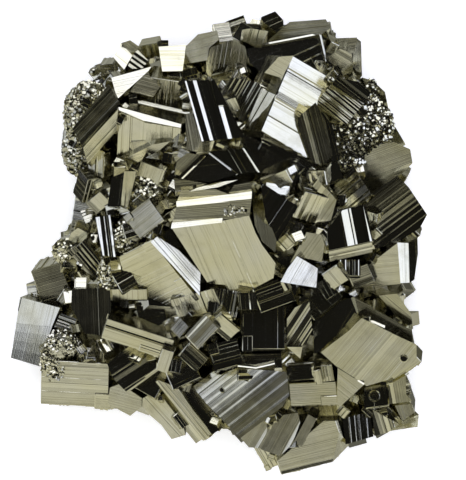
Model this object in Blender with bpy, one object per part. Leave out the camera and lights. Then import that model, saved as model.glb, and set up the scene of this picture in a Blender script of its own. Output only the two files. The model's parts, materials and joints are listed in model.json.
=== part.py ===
# A pyrite cluster: striated cubes grown together on a mound of their own ore.
# The cluster lies on the flat cut where it was parted from its rock, with its crystals upwards.
# +X is to the right and +Y to the top as the cluster is looked at from above. The origin is in the
# middle of the flat base. The whole cluster grew as one piece, so it is one solid.

import math
import random

import bmesh
import bpy
from mathutils import Euler, Matrix, Vector

MM = 0.001

# The cluster's own drawing grid starts at its left and top. This is the middle of its base there.
MIDDLE_RIGHT = 54.75
MIDDLE_DOWN = 60.5

# The mound that carries the crystals: its outline on the drawing grid, and how far in or out the
# outline stands at each height.
MOUND_OUTLINE = [
    (28.0, 16.0), (41.0, 11.0), (50.0, 9.0), (60.0, 5.5), (70.0, 4.5), (82.0, 6.0), (90.0, 11.0),
    (91.0, 19.0), (97.0, 24.0), (99.0, 34.0), (103.0, 40.0), (101.0, 46.0), (105.0, 54.0),
    (104.0, 62.0), (103.0, 71.0), (100.5, 76.0), (103.0, 84.0), (103.0, 92.0), (102.0, 98.0),
    (104.0, 104.0), (96.0, 107.5), (86.0, 110.5), (77.0, 115.5), (68.5, 116.0), (61.0, 110.0),
    (52.0, 107.5), (40.0, 105.0), (33.0, 103.0), (25.0, 101.0), (11.0, 100.0), (10.0, 91.5),
    (5.0, 88.0), (5.5, 78.0), (9.0, 69.0), (14.5, 62.0), (18.5, 54.0), (20.0, 45.0), (17.0, 36.0),
    (18.0, 26.0), (23.0, 19.0),
]
MOUND_LEVELS = [
    (-2.0, 0.86), (7.0, 0.92), (15.0, 0.94), (22.0, 0.87), (29.0, 0.74), (34.0, 0.6), (39.0, 0.4),
]

# Growth steps: raised bands along the faces of the larger crystals. Starts and widths are shares
# of the face, and the other values are millimetres.
STEPPED_FROM = 16.0
STEP_STARTS = (0.12, 0.5)
STEP_WIDTHS = (0.12, 0.34)
STEP_HEIGHTS = (0.3, 0.6)
STEP_INSET = 0.25
STEP_SEED = 4

# How far the points of a grain mound stand out, and how far they differ, as shares of its half
# widths.
MOUND_RADIUS = 1.08
MOUND_BUMPS = (0.9, 1.05)

# How far a crystal with an outline of its own grows into its neighbours, in millimetres. The other
# value keeps its sharp corners from reaching much further: the smaller it is, the further they do.
OVERLAP = 0.05
SHARPEST = 0.4

# How far such crystals fan out. Their sides lean by this, times the square of their distance from
# the middle, so the ones at the rim lean the most.
FAN = 0.0002

# Crystals on the sides of the mound, which grew outwards: their sizes and heights in millimetres,
# how far their sides differ, and how far each is turned and tilted, in radians.
FLANK_COUNT = 74
FLANK_SIZES = (5.5, 13.0)
FLANK_HEIGHTS = (2.0, 25.0)
FLANK_SHAPES = (0.75, 1.25)
FLANK_TURN = 0.5
FLANK_TILT = 0.7
FLANK_SCALE = 0.92
FLANK_PULL = 0.5
FLANK_SEED = 7

# What lies under the flat cut is taken off by a block of this size.
GROUND_SIZE = 400.0

# The joined solid is cleaned of edges shorter than this, in millimetres, and of edges between
# faces that lie within this angle, in radians.
SHORTEST_EDGE = 0.001
FLATTEST_EDGE = 0.001

# Crystals with a corner towards the eye: the near corner (right, down and height) in millimetres,
# then the corner's three edges. Each edge is the way it is seen to run, in degrees from the right
# towards the top, and its length as seen.
CORNER_CRYSTALS = [
    ("great_block", (62.0, 53.8, 49.5), (191, 20.0), (287, 18.5), (83, 9.5)),
    ("bright_block", (65.3, 32.8, 51.0), (67, 20.2), (330, 17.0), (177, 7.0)),
    ("zebra_pillar", (50.8, 35.3, 44.5), (106, 16.0), (8, 10.8), (242, 4.5)),
    ("upper_left_block", (45.3, 31.8, 44.0), (167, 16.0), (267, 12.0), (52, 7.5)),
    ("roof_block", (79.8, 8.8, 35.5), (188, 14.5), (279.5, 11.0), (53, 4.8)),
    ("combed_block", (82.5, 21.4, 44.5), (320, 11.5), (227, 4.6), (54, 5.5)),
    ("shaded_comb", (54.0, 25.8, 43.0), (60, 10.0), (324, 9.0), (222, 4.0)),
    ("stepped_block", (38.0, 60.2, 49.0), (308, 18.0), (206, 10.5), (66, 3.0)),
    ("small_left_cube", (26.0, 38.0, 35.0), (268, 6.5), (160, 4.0), (20, 3.0)),
    ("long_blade", (43.0, 97.0, 34.0), (309, 15.0), (214, 4.0), (45, 5.0)),
    ("silver_block", (60.2, 108.6, 33.5), (38, 16.0), (132, 17.5), (275, 2.2)),
    ("right_low_block", (90.0, 79.8, 43.0), (334, 15.3), (224, 13.3), (99, 9.3)),
    ("right_banded_cube", (82.4, 62.4, 46.0), (11, 11.0), (101.5, 9.5), (272, 3.2)),
    ("small_bright_cube", (76.3, 48.0, 50.0), (345, 7.5), (245, 7.0), (110, 4.0)),
    ("corner_left_cube", (28.0, 16.0, 25.0), (180, 3.2), (275, 3.0), (60, 2.0)),
    ("left_crest", (22.0, 45.0, 33.0), (255, 6.0), (5, 3.5), (130, 3.5)),
    ("mid_left_prism", (41.3, 49.7, 44.3), (250, 6.5), (345, 4.0), (120, 5.0)),
]

# Crystals that turn one face to the eye: that face's centre (right, down and height), the way it
# leans and by how much, the way one of its edges is seen to run, and the crystal's size along that
# edge, across it and away from the face.
FACE_CRYSTALS = [
    ("black_arch_step", (65.0, 91.5, 41.0), (110, 8), 2, (11.0, 6.4, 10.0)),
    ("foot_khaki_face", (77.0, 111.4, 33.0), (262, 25), 14, (17.0, 11.0, 9.0)),
    ("foot_olive_face", (70.6, 108.6, 33.0), (240, 22), 47, (10.5, 5.6, 8.0)),
    ("cream_bar_foot", (41.3, 90.2, 43.2), (255, 27), 252, (5.6, 3.0, 7.0)),
    ("tip_grey_lump", (37.4, 12.6, 26.0), (245, 28), 10, (4.4, 3.4, 4.5)),
    ("rim_ball_crystal", (23.5, 18.0, 23.0), (200, 30), 45, (2.6, 2.6, 4.0)),
    ("white_grain_top", (39.3, 20.5, 33.0), (70, 27), 60, (3.0, 2.6, 4.0)),
    ("dark_ledges", (45.0, 20.3, 34.0), (75, 10), 15, (9.0, 4.5, 8.0)),
    ("top_white_cube", (55.8, 7.9, 27.0), (75, 27), 8, (4.0, 4.8, 6.0)),
    ("top_khaki_cube", (64.3, 9.2, 34.0), (270, 35), 352, (4.6, 3.8, 7.0)),
    ("top_side_grain", (60.5, 8.0, 30.0), (150, 30), 60, (4.5, 3.0, 6.0)),
    ("top_dark_grain", (59.5, 6.2, 25.0), (40, 12), 20, (4.5, 4.0, 6.0)),
    ("dark_shoulder", (67.5, 21.0, 44.0), (150, 12), 65, (6.0, 4.5, 8.0)),
    ("black_wedge", (70.3, 41.5, 42.0), (240, 8), 330, (14.0, 9.0, 12.0)),
    ("olive_patch", (37.5, 36.5, 38.0), (240, 26), 10, (9.0, 3.5, 6.0)),
    ("grey_blue_chip", (40.0, 39.3, 39.0), (35, 28), 30, (6.0, 3.4, 6.0)),
    ("khaki_facet", (24.6, 50.7, 35.0), (240, 30), 40, (4.6, 3.8, 6.0)),
    ("smooth_left_rim", (20.5, 51.3, 27.0), (190, 30), 262, (11.0, 4.0, 9.0)),
    ("grey_cube", (36.2, 54.6, 48.0), (225, 24.5), 38, (7.6, 6.6, 9.0)),
    ("lower_ledge", (32.3, 73.6, 42.0), (265, 30), 0, (9.0, 2.6, 6.0)),
    ("black_notch", (31.3, 69.8, 42.0), (120, 10), 300, (5.5, 4.5, 7.0)),
    ("pale_left_cube", (19.8, 59.6, 33.0), (250, 30), 340, (3.8, 3.4, 5.0)),
    ("khaki_left_lump", (16.0, 62.5, 27.0), (225, 28), 20, (5.0, 3.8, 7.0)),
    ("white_left_grain", (15.2, 66.0, 28.0), (30, 30), 80, (3.0, 2.6, 5.0)),
    ("diagonal_plate", (22.3, 65.2, 37.0), (222, 22), 310, (9.5, 5.0, 7.0)),
    ("white_left_square", (20.3, 70.6, 38.0), (98, 27), 0, (2.7, 2.5, 4.0)),
    ("left_dark_cube", (12.9, 71.2, 30.0), (235, 21), 290, (9.5, 7.5, 10.0)),
    ("dark_shield", (22.8, 77.7, 38.0), (100, 9), 0, (9.3, 12.0, 10.0)),
    ("small_striped_grain", (16.5, 80.7, 33.0), (150, 20), 340, (4.6, 3.6, 6.0)),
    ("low_left_block", (18.7, 96.0, 31.0), (262, 28), 357, (16.8, 11.0, 14.0)),
    ("cream_bar", (34.5, 84.7, 43.0), (255, 28), 342, (17.5, 5.0, 8.0)),
    ("low_left_grain", (26.8, 100.9, 25.0), (230, 30), 0, (4.0, 2.8, 6.0)),
    ("striped_chip", (26.4, 86.3, 39.0), (85, 25), 300, (3.6, 3.0, 5.0)),
    ("dark_hollow_face", (38.0, 79.0, 40.0), (120, 8), 10, (7.0, 8.0, 8.0)),
    ("cream_fold", (49.2, 76.0, 43.5), (255, 28), 15, (11.0, 5.5, 8.0)),
    ("grey_small_cube", (45.0, 81.8, 44.5), (240, 25), 315, (3.4, 3.6, 6.0)),
    ("grey_green_cube", (50.4, 82.8, 45.0), (220, 22.5), 47, (7.2, 4.8, 8.0)),
    ("cream_cube", (56.2, 81.7, 44.5), (270, 30), 320, (6.2, 4.4, 7.0)),
    ("striped_dark_cube", (48.5, 89.2, 42.0), (222, 17), 318, (5.8, 4.6, 8.0)),
    ("black_low_cube", (56.5, 88.5, 43.0), (100, 8), 15, (7.2, 6.6, 9.0)),
    ("zebra_chip", (62.0, 75.3, 45.0), (60, 14), 275, (4.2, 4.6, 6.0)),
    ("black_arch", (66.0, 81.6, 43.0), (95, 7), 0, (10.5, 11.0, 12.0)),
    ("striped_post", (74.0, 83.8, 42.0), (320, 22), 272, (12.0, 4.2, 8.0)),
    ("cream_foot_wedge", (67.2, 114.0, 25.0), (235, 30), 300, (6.5, 4.5, 9.0)),
    ("khaki_low_cube", (78.3, 98.4, 37.0), (265, 25), 3, (11.6, 5.6, 9.0)),
    ("olive_recess", (75.3, 92.7, 38.0), (110, 9), 5, (6.5, 4.5, 8.0)),
    ("upright_chips", (80.8, 93.4, 40.0), (20, 28), 280, (4.0, 5.0, 7.0)),
    ("olive_grain", (73.0, 57.0, 47.0), (120, 15), 60, (4.2, 3.6, 6.0)),
    ("olive_grain_low", (71.3, 60.5, 48.0), (230, 28), 40, (3.6, 3.2, 6.0)),
    ("khaki_mid_cube", (83.8, 69.3, 46.0), (250, 28), 310, (4.6, 4.4, 7.0)),
    ("black_mid_side", (81.8, 72.0, 43.0), (150, 12), 300, (4.8, 3.4, 7.0)),
    ("black_mid_top", (87.3, 66.9, 44.5), (80, 8), 0, (5.5, 4.0, 7.0)),
    ("olive_mid_chip", (90.2, 69.0, 42.0), (265, 22), 20, (5.2, 4.8, 7.0)),
    ("khaki_triangle", (69.0, 45.4, 47.0), (250, 30), 22, (7.0, 3.6, 6.0)),
    ("navy_face", (88.2, 107.2, 27.0), (120, 12), 285, (6.5, 4.5, 7.0)),
    ("grey_low_strip", (91.7, 105.8, 26.0), (250, 25), 287, (6.2, 2.8, 6.0)),
    ("black_low_wedge", (94.4, 105.7, 24.0), (100, 9), 300, (5.4, 3.2, 7.0)),
    ("grey_low_block", (96.8, 104.0, 27.0), (230, 22), 315, (5.6, 4.0, 6.0)),
    ("grey_corner_block", (100.0, 102.5, 25.0), (265, 25), 15, (6.6, 4.0, 8.0)),
    ("pale_corner_grain", (103.0, 104.8, 21.0), (20, 30), 30, (3.8, 2.8, 6.0)),
    ("ring_recess", (94.0, 99.2, 31.0), (90, 6), 10, (6.0, 5.0, 8.0)),
    ("deep_black_block", (59.5, 38.5, 42.0), (100, 8), 330, (12.0, 11.0, 9.0)),
    ("deep_right_cube", (80.5, 42.8, 42.0), (60, 10), 20, (9.0, 7.0, 8.0)),
    ("deep_right_block", (87.0, 48.5, 40.5), (160, 26), 40, (9.5, 8.0, 9.0)),
    ("deep_left_cube", (37.0, 45.3, 41.0), (240, 28), 70, (8.0, 6.5, 8.0)),
    ("deep_left_block", (30.0, 50.0, 37.0), (190, 30), 15, (8.0, 7.5, 8.0)),
    ("deep_mid_cube", (56.0, 75.5, 42.5), (100, 8), 350, (7.5, 6.5, 8.0)),
    ("deep_mid_block", (68.5, 73.5, 43.0), (120, 10), 20, (9.0, 6.5, 8.0)),
    ("deep_low_cube", (80.0, 74.5, 42.0), (150, 10), 40, (9.0, 6.5, 8.0)),
    ("deep_foot_cube", (45.5, 92.8, 38.0), (150, 14), 25, (7.5, 6.5, 8.0)),
    ("deep_foot_block", (37.5, 95.0, 35.0), (120, 10), 60, (7.0, 6.5, 8.0)),
    ("deep_corner_cube", (86.5, 90.0, 37.0), (235, 25), 25, (10.0, 8.0, 9.0)),
    ("deep_corner_block", (82.5, 104.0, 29.0), (90, 12), 10, (9.0, 6.5, 8.0)),
    ("deep_top_cube", (41.5, 23.5, 35.0), (250, 24), 352, (9.0, 7.0, 8.0)),
    ("deep_top_block", (75.0, 22.0, 40.0), (140, 12), 30, (12.0, 10.0, 9.0)),
    ("deep_edge_cube", (96.0, 87.0, 33.0), (300, 25), 60, (9.0, 9.0, 9.0)),
    ("left_shelf_cube", (17.5, 88.5, 31.0), (240, 24), 20, (7.0, 6.0, 8.0)),
    ("rim_wedge_left", (18.5, 31.0, 25.0), (170, 26), 262, (9.0, 4.5, 8.0)),
]

# Crystals that show one face with an outline of its own, where others grew into them or a corner
# broke away: the height of the face's middle, the way it leans and by how much, the crystal's
# depth, and the outline (right and down).
OUTLINED_CRYSTALS = [
    ("great_face", 47.2, (263, 31), 12.0, [(43.0, 56.9), (52.1, 70.9), (56.3, 71.1), (58.3, 74.8),
        (68.3, 69.4), (68.8, 65.8), (65.4, 61.2), (63.8, 58.2), (62.2, 54.0), (55.4, 55.3)]),
    ("great_shelf", 52.9, (262, 22.6), 16.0, [(44.3, 51.6), (43.1, 56.1), (55.5, 54.8), (62.3, 54.2),
        (62.8, 49.8)]),
    ("great_band", 53.7, (98, 27), 16.0, [(44.2, 50.5), (44.3, 51.8), (62.8, 49.9), (62.9, 48.0)]),
    ("great_ledge", 52.9, (262, 24), 16.0, [(45.4, 47.6), (44.3, 50.6), (58.0, 48.9), (54.0, 47.4)]),
    ("great_streak", 53.2, (98, 27), 16.0, [(47.4, 48.0), (54.6, 46.9), (59.4, 45.1), (54.0, 45.8),
        (49.2, 47.2)]),
    ("great_corner", 52.8, (275, 19), 16.0, [(56.8, 48.9), (62.9, 48.1), (62.4, 45.6), (58.6, 46.4)]),
    ("great_side", 50.0, (66, 40), 16.0, [(62.7, 46.8), (63.7, 56.4), (65.6, 60.4), (68.7, 62.9),
        (69.0, 60.0), (67.2, 55.4), (66.0, 50.0), (65.0, 45.4)]),
    ("peak_face", 53.4, (70, 8), 16.0, [(52.5, 38.5), (46.1, 44.9), (52.6, 45.6), (59.2, 43.6)]),
    ("peak_left_strip", 53.3, (200, 9), 16.0, [(50.4, 38.8), (44.6, 44.4), (45.5, 44.8), (51.2, 39.0)]),
    ("peak_right", 52.7, (60, 9), 16.0, [(52.6, 38.0), (59.4, 43.4), (64.4, 43.2), (60.6, 37.4)]),
    ("peak_grey", 51.6, (250, 21), 16.0, [(44.4, 40.2), (43.7, 43.6), (46.0, 44.0), (50.6, 38.9),
        (47.0, 38.4)]),
    ("peak_foot", 52.2, (270, 19), 16.0, [(43.6, 44.6), (44.0, 49.0), (48.8, 47.6), (51.6, 45.9)]),
    ("great_square", 50.6, (60, 8), 16.0, [(65.1, 45.6), (66.4, 54.6), (69.2, 60.2), (74.3, 51.6)]),
    ("right_plate_face", 39.0, (240, 23.5), 20.0, [(85.6, 44.6), (85.4, 51.8), (88.6, 50.0),
        (93.4, 48.4), (97.0, 45.6), (100.6, 43.2), (103.0, 40.8), (102.4, 37.4), (98.4, 35.6),
        (92.6, 36.6), (89.0, 39.8)]),
    ("roof_slab", 36.0, (238, 24), 20.0, [(66.0, 11.0), (76.4, 8.7), (80.3, 8.6), (82.6, 7.0),
        (81.4, 4.9), (72.4, 5.5)]),
    ("roof_face", 36.6, (230, 12), 14.0, [(61.8, 12.2), (62.4, 15.6), (65.4, 18.4), (68.2, 15.6),
        (74.0, 14.2), (82.2, 19.2), (79.8, 8.9)]),
    ("roof_side", 35.6, (60, 36), 20.0, [(80.3, 8.6), (82.6, 19.0), (83.4, 18.6), (84.2, 11.6),
        (82.6, 7.6)]),
    ("yellow_facet", 38.4, (225, 27), 14.0, [(82.1, 14.4), (83.7, 18.8), (88.2, 18.0), (87.9, 13.4),
        (85.0, 12.3)]),
    ("yellow_top", 36.4, (282, 22), 20.0, [(84.2, 9.6), (85.0, 12.5), (88.2, 13.3), (89.2, 9.4)]),
    ("outer_face", 34.0, (250, 20.5), 20.0, [(88.3, 12.8), (88.2, 18.4), (90.5, 18.8), (90.2, 10.4),
        (88.9, 9.4)]),
    ("comb_dark", 46.4, (60, 10), 14.0, [(84.0, 19.5), (83.0, 21.3), (90.6, 26.4), (92.6, 23.4),
        (89.4, 20.6)]),
    ("comb_face", 46.0, (236, 22.5), 14.0, [(82.9, 21.2), (78.8, 25.7), (86.4, 31.2), (90.8, 26.0)]),
    ("wing_face", 45.4, (262, 17), 14.0, [(78.8, 25.8), (75.0, 29.0), (74.5, 31.6), (77.4, 40.0),
        (80.4, 41.6), (83.0, 38.8), (81.2, 30.4)]),
    ("wing_side", 42.6, (80, 10), 14.0, [(79.0, 25.8), (81.0, 30.4), (82.8, 40.4), (84.8, 40.0),
        (83.0, 31.6)]),
    ("rim_slab", 33.4, (245, 22), 20.0, [(90.6, 19.4), (93.0, 24.0), (95.8, 31.0), (98.6, 35.8),
        (101.4, 36.0), (99.0, 32.0), (97.2, 27.6), (96.2, 23.0), (93.2, 20.2)]),
    ("far_left_face", 30.0, (186, 30), 20.0, [(5.0, 74.4), (2.6, 89.5), (9.8, 91.6), (12.2, 83.4),
        (14.9, 77.0)]),
    ("far_left_corner", 29.6, (188, 24), 20.0, [(3.6, 84.6), (2.6, 89.4), (8.8, 91.2), (6.4, 88.0)]),
    ("silver_face_upper", 38.8, (188, 30), 14.0, [(48.4, 96.6), (53.6, 92.7), (55.2, 93.8),
        (57.0, 92.8), (59.4, 92.2), (55.6, 98.4), (51.8, 101.0)]),
    ("silver_face_lower", 38.2, (188, 23.2), 14.0, [(51.6, 100.9), (55.4, 98.2), (59.2, 92.0),
        (71.6, 92.9), (72.2, 98.6), (70.6, 101.4), (60.1, 109.4)]),
    ("foot_striped", 36.4, (110, 10), 14.0, [(26.9, 91.0), (28.2, 94.4), (31.5, 97.8), (39.6, 92.0),
        (37.4, 88.6), (32.8, 86.2)]),
    ("blade_dark", 33.6, (60, 9), 14.0, [(44.6, 97.0), (48.4, 97.0), (56.2, 106.6), (53.0, 108.6)]),
    ("black_right", 40.6, (150, 12), 14.0, [(88.4, 74.3), (78.6, 88.2), (80.4, 87.8), (85.6, 83.0),
        (89.5, 79.2)]),
    ("right_band", 44.0, (110, 12), 24.0, [(88.6, 74.2), (89.7, 78.8), (103.0, 85.6), (102.6, 82.4),
        (94.0, 77.4)]),
    ("right_low_face", 43.4, (262, 26), 14.0, [(80.2, 88.0), (84.2, 91.6), (91.6, 96.4), (97.0, 94.8),
        (104.0, 89.8), (103.9, 86.1), (99.8, 84.2), (90.3, 79.5), (87.2, 82.6)]),
    ("khaki_right_plate", 42.5, (245, 24), 22.0, [(94.7, 73.9), (99.2, 79.2), (103.2, 82.2),
        (102.6, 78.4), (99.2, 73.4)]),
    ("right_slab_low", 34.6, (240, 23), 20.0, [(97.2, 96.2), (97.4, 101.0), (103.0, 100.2),
        (101.5, 98.6), (101.4, 93.9)]),
    ("turned_face", 38.6, (262, 26), 14.0, [(84.4, 92.0), (84.3, 100.6), (84.9, 101.7), (90.9, 96.1)]),
    ("pillar_side", 45.6, (215, 21), 14.0, [(46.4, 28.6), (46.8, 37.6), (49.6, 38.0), (50.6, 35.4),
        (48.0, 28.4)]),
    ("edge_white", 39.6, (6, 31), 20.0, [(99.2, 60.7), (99.9, 70.7), (102.3, 70.6), (102.0, 60.8)]),
    ("edge_face", 40.8, (230, 27), 14.0, [(91.8, 66.6), (87.7, 72.0), (100.0, 70.9), (99.2, 60.8)]),
    ("edge_black", 36.6, (60, 14), 20.0, [(102.0, 60.7), (102.4, 70.6), (103.5, 69.9), (104.4, 63.4),
        (104.3, 59.3)]),
    ("mid_grey_face", 47.0, (232, 24), 14.0, [(76.6, 58.1), (70.4, 69.6), (74.4, 64.0), (80.4, 65.4),
        (81.0, 61.0), (80.2, 58.7)]),
    ("blue_face", 47.8, (8, 31), 14.0, [(74.2, 64.1), (70.0, 70.3), (78.9, 71.8), (79.5, 66.8)]),
    ("left_banded", 45.0, (7, 8), 14.0, [(24.0, 54.4), (25.8, 63.8), (29.2, 64.2), (27.8, 53.8)]),
    ("left_gloss", 37.0, (250, 20), 14.0, [(18.2, 32.0), (20.6, 36.6), (30.0, 25.8), (27.2, 21.2)]),
    ("left_cream", 37.2, (262, 29), 14.0, [(20.8, 36.8), (21.9, 40.8), (29.0, 32.6), (29.6, 27.0)]),
    ("post_cream", 43.0, (262, 29), 14.0, [(31.2, 42.9), (30.3, 51.2), (32.0, 51.5), (34.2, 42.9)]),
    ("post_dark", 42.0, (180, 10), 14.0, [(28.0, 44.4), (27.0, 51.6), (30.1, 51.6), (31.0, 43.2)]),
    ("bright_left_face", 47.2, (186, 29), 14.0, [(65.4, 22.4), (61.6, 31.2), (65.4, 32.6),
        (69.2, 24.0)]),
    ("cream_shoulder_face", 48.2, (240, 29), 14.0, [(69.6, 14.5), (66.2, 18.3), (70.4, 19.6),
        (73.2, 14.2)]),
    ("shaded_comb_face", 44.0, (252, 19.5), 14.0, [(54.4, 25.0), (57.4, 28.2), (61.0, 30.4),
        (65.6, 22.2), (64.4, 20.8), (58.0, 19.5)]),
    ("pillar_face", 48.2, (16, 7), 16.0, [(46.3, 20.5), (50.5, 35.4), (61.0, 34.4), (53.5, 20.1)]),
    ("pillar_step", 49.2, (16, 8), 14.0, [(52.9, 20.2), (54.4, 26.4), (56.8, 26.4), (53.5, 20.0)]),
    ("pillar_foot", 46.6, (268, 27), 14.0, [(50.5, 35.5), (48.9, 38.9), (52.6, 38.4), (53.6, 35.3)]),
    ("banded_front", 48.6, (11, 8), 14.0, [(85.4, 52.7), (81.7, 57.4), (82.1, 62.5), (92.8, 60.2),
        (90.5, 51.3)]),
    ("banded_foot", 47.0, (265, 25), 14.0, [(82.1, 62.6), (82.4, 65.3), (92.9, 63.0), (92.8, 60.3)]),
    ("stepped_bright", 46.8, (14, 31), 12.0, [(37.8, 60.5), (43.5, 66.6), (49.9, 73.8), (50.1, 68.2),
        (45.0, 62.8), (39.4, 59.2)]),
    ("upper_wedge", 42.8, (98, 27), 12.0, [(29.4, 27.4), (36.0, 30.2), (45.2, 32.0), (45.3, 31.2),
        (29.8, 26.9)]),
    ("tip_white", 31.0, (98, 27), 18.0, [(28.3, 14.2), (31.0, 17.3), (33.0, 13.8), (30.2, 10.8)]),
    ("tip_dark", 30.6, (245, 22.5), 16.0, [(30.3, 10.7), (33.1, 13.6), (34.8, 11.6), (32.5, 10.0)]),
    ("tip_stripes", 31.6, (110, 14), 18.0, [(31.8, 17.2), (35.6, 17.0), (37.0, 15.2), (34.4, 12.5),
        (33.1, 13.8)]),
    ("wedge_white_upper", 36.0, (98, 27), 18.0, [(27.9, 19.5), (29.0, 23.4), (29.6, 24.5), (37.0, 17.8),
        (37.8, 16.7)]),
    ("olive_triangle", 36.4, (245, 21.5), 18.0, [(37.0, 17.9), (32.0, 22.7), (38.2, 24.2), (40.0, 21.7),
        (37.9, 20.0)]),
    ("square_white", 33.0, (98, 27), 18.0, [(39.7, 11.7), (40.6, 17.8), (45.6, 17.7), (46.5, 11.2)]),
    ("top_olive_face", 36.4, (285, 20.5), 18.0, [(51.6, 15.8), (51.7, 19.5), (57.0, 18.2), (62.0, 15.4),
        (61.2, 11.6), (57.9, 10.0), (52.5, 12.0)]),
    ("top_grey_face", 34.6, (228, 26), 20.0, [(45.8, 16.0), (51.7, 15.0), (52.2, 12.0), (54.8, 9.8),
        (54.2, 7.7), (49.5, 8.6), (46.5, 11.5)]),
    ("top_black", 32.0, (80, 11), 20.0, [(65.4, 4.2), (65.8, 5.4), (69.5, 8.2), (71.0, 7.9),
        (70.8, 5.0), (68.8, 2.8)]),
    ("blade_khaki", 35.4, (245, 26), 16.0, [(39.0, 95.4), (50.8, 110.2), (52.9, 108.3), (48.2, 102.5),
        (44.5, 97.0), (39.6, 95.0)]),
    ("wide_wedge", 32.0, (262, 26), 16.0, [(27.5, 97.0), (27.0, 101.0), (32.5, 104.0), (35.3, 101.7),
        (35.4, 99.6), (30.0, 96.0)]),
    ("ragged_face", 31.0, (246, 27), 16.0, [(35.7, 99.6), (35.6, 101.3), (37.5, 103.8), (40.4, 106.3),
        (42.9, 109.8), (46.3, 108.8), (45.8, 106.7), (44.0, 103.8), (41.6, 100.7), (39.5, 97.8)]),
    ("right_dark_face", 42.0, (215, 7), 22.0, [(90.9, 50.0), (92.7, 62.5), (99.2, 60.6), (104.8, 57.0),
        (106.6, 53.7), (102.0, 46.8), (99.2, 44.0)]),
    ("grey_upper_face", 46.6, (240, 23.5), 14.0, [(76.6, 48.6), (75.0, 51.8), (78.4, 55.5),
        (82.6, 55.1), (84.0, 50.0), (79.4, 45.0)]),
    ("leaf_face", 43.0, (245, 27), 14.0, [(32.0, 39.3), (38.2, 36.2), (42.5, 35.4), (40.0, 37.5),
        (34.5, 40.5)]),
]

# Mounds that carry fine grains: the middle (right, down and height) and the half widths along,
# across and upwards.
GRAIN_MOUNDS = [
    ("right_mound", (90.5, 31.5, 36.0), (7.2, 6.4, 6.0)),
    ("right_lower_mound", (88.0, 37.5, 34.5), (4.6, 6.0, 5.5)),
    ("right_rim_mound", (94.2, 24.5, 32.0), (2.6, 5.0, 4.0)),
    ("left_mound", (19.4, 28.5, 29.0), (3.4, 6.6, 5.0)),
    ("left_lower_mound", (20.0, 37.5, 23.0), (4.5, 6.0, 6.0)),
    ("left_upper_mound", (22.4, 23.4, 30.0), (3.6, 3.2, 4.0)),
    ("cream_mound", (15.6, 86.0, 32.0), (4.2, 3.6, 4.0)),
    ("cream_lower_mound", (12.8, 91.0, 29.5), (2.6, 4.4, 4.0)),
    ("strip_mound", (27.5, 69.0, 36.0), (3.0, 6.0, 4.5)),
    ("middle_mound", (31.8, 59.5, 40.0), (3.4, 4.6, 5.0)),
    ("middle_upper_mound", (36.0, 47.5, 38.0), (5.0, 4.0, 4.0)),
    ("right_edge_mound", (100.5, 88.5, 28.0), (2.6, 3.4, 3.4)),
]

# Crystals that are cut off: for each cut, the point on the grid that it runs through, the way the
# cut face looks, and how far it looks up, in degrees.
CUTS = {
    "great_block": [(47.75, 63.9, 215, 12), (63.0, 72.2, 299, 0)],
    "dark_shield": [(19.6, 77.2, 197, 20), (26.1, 81.5, 328, 10)],
    "foot_khaki_face": [(84.5, 109.7, 338, 20), (73.7, 111.5, 143, 30), (82.0, 105.2, 90, 10)],
    "right_low_block": [(92.2, 95.2, 285, 25)],
    "low_left_block": [(11.6, 92.2, 150, 35)],
    "grey_cube": [(33.3, 52.0, 135, 35)],
    "stepped_block": [(30.5, 67.0, 205, 20)],
}


def on_base(right, down, height):
    """A point of the drawing grid, in millimetres from the middle of the base."""
    return Vector((right - MIDDLE_RIGHT, MIDDLE_DOWN - down, height))


def corner_box(near_corner, *edges):
    """The near corner and the three edge vectors of a box whose corner points upwards."""
    seen = [math.radians(direction) for direction, _ in edges]
    across = [math.cos(seen[(i + 1) % 3] - seen[(i + 2) % 3]) for i in range(3)]
    vectors = []
    for i, (_, length) in enumerate(edges):
        drop = math.sqrt(-across[(i + 1) % 3] * across[(i + 2) % 3] / across[i])
        vectors.append(Vector((math.cos(seen[i]), math.sin(seen[i]), -drop)) * length)
    return on_base(*near_corner), vectors


def face_box(face_centre, lean, edge, size):
    """A corner and the three edge vectors of a box that turns a leaning face upwards."""
    towards, tilt = (math.radians(angle) for angle in lean)
    aside = math.sin(tilt)
    normal = Vector((aside * math.cos(towards), aside * math.sin(towards), math.cos(tilt)))
    seen = Vector((math.cos(math.radians(edge)), math.sin(math.radians(edge)), 0.0))
    along = seen - Vector((0, 0, 1)) * seen.dot(normal) / normal.z
    along.normalize()
    across = normal.cross(along)
    along *= size[0] / along.xy.length
    across *= size[1] / across.xy.length
    corner = on_base(*face_centre) - along / 2 - across / 2
    return corner, [along, across, -normal * size[2]]


def add_solid(name, bm, group):
    """Puts a closed shape, in millimetres, among the shapes that are joined."""
    bmesh.ops.recalc_face_normals(bm, faces=bm.faces)
    bmesh.ops.scale(bm, vec=(MM, MM, MM), verts=bm.verts)
    mesh = bpy.data.meshes.new(name)
    bm.to_mesh(mesh)
    bm.free()
    solid = bpy.data.objects.new(name, mesh)
    solid.hide_render = True
    solid.display_type = "WIRE"
    group.objects.link(solid)
    return solid


def cut_off(bm, cuts, corner, vectors):
    """Takes pieces off a block, each along a plane through a point of its upper face."""
    upper = vectors[0].cross(vectors[1])
    for right, down, towards, upwards in cuts:
        spot = on_base(right, down, 0.0)
        spot.z = corner.z - ((spot - corner).xy.dot(upper.xy)) / upper.z
        towards, upwards = math.radians(towards), math.radians(upwards)
        level = math.cos(upwards)
        outward = Vector((level * math.cos(towards), level * math.sin(towards), math.sin(upwards)))
        geom = bm.verts[:] + bm.edges[:] + bm.faces[:]
        made = bmesh.ops.bisect_plane(bm, geom=geom, plane_co=spot, plane_no=outward, clear_outer=True)
        rim = [item for item in made["geom_cut"] if isinstance(item, bmesh.types.BMEdge)]
        if rim:
            bmesh.ops.contextual_create(bm, geom=rim)


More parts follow.
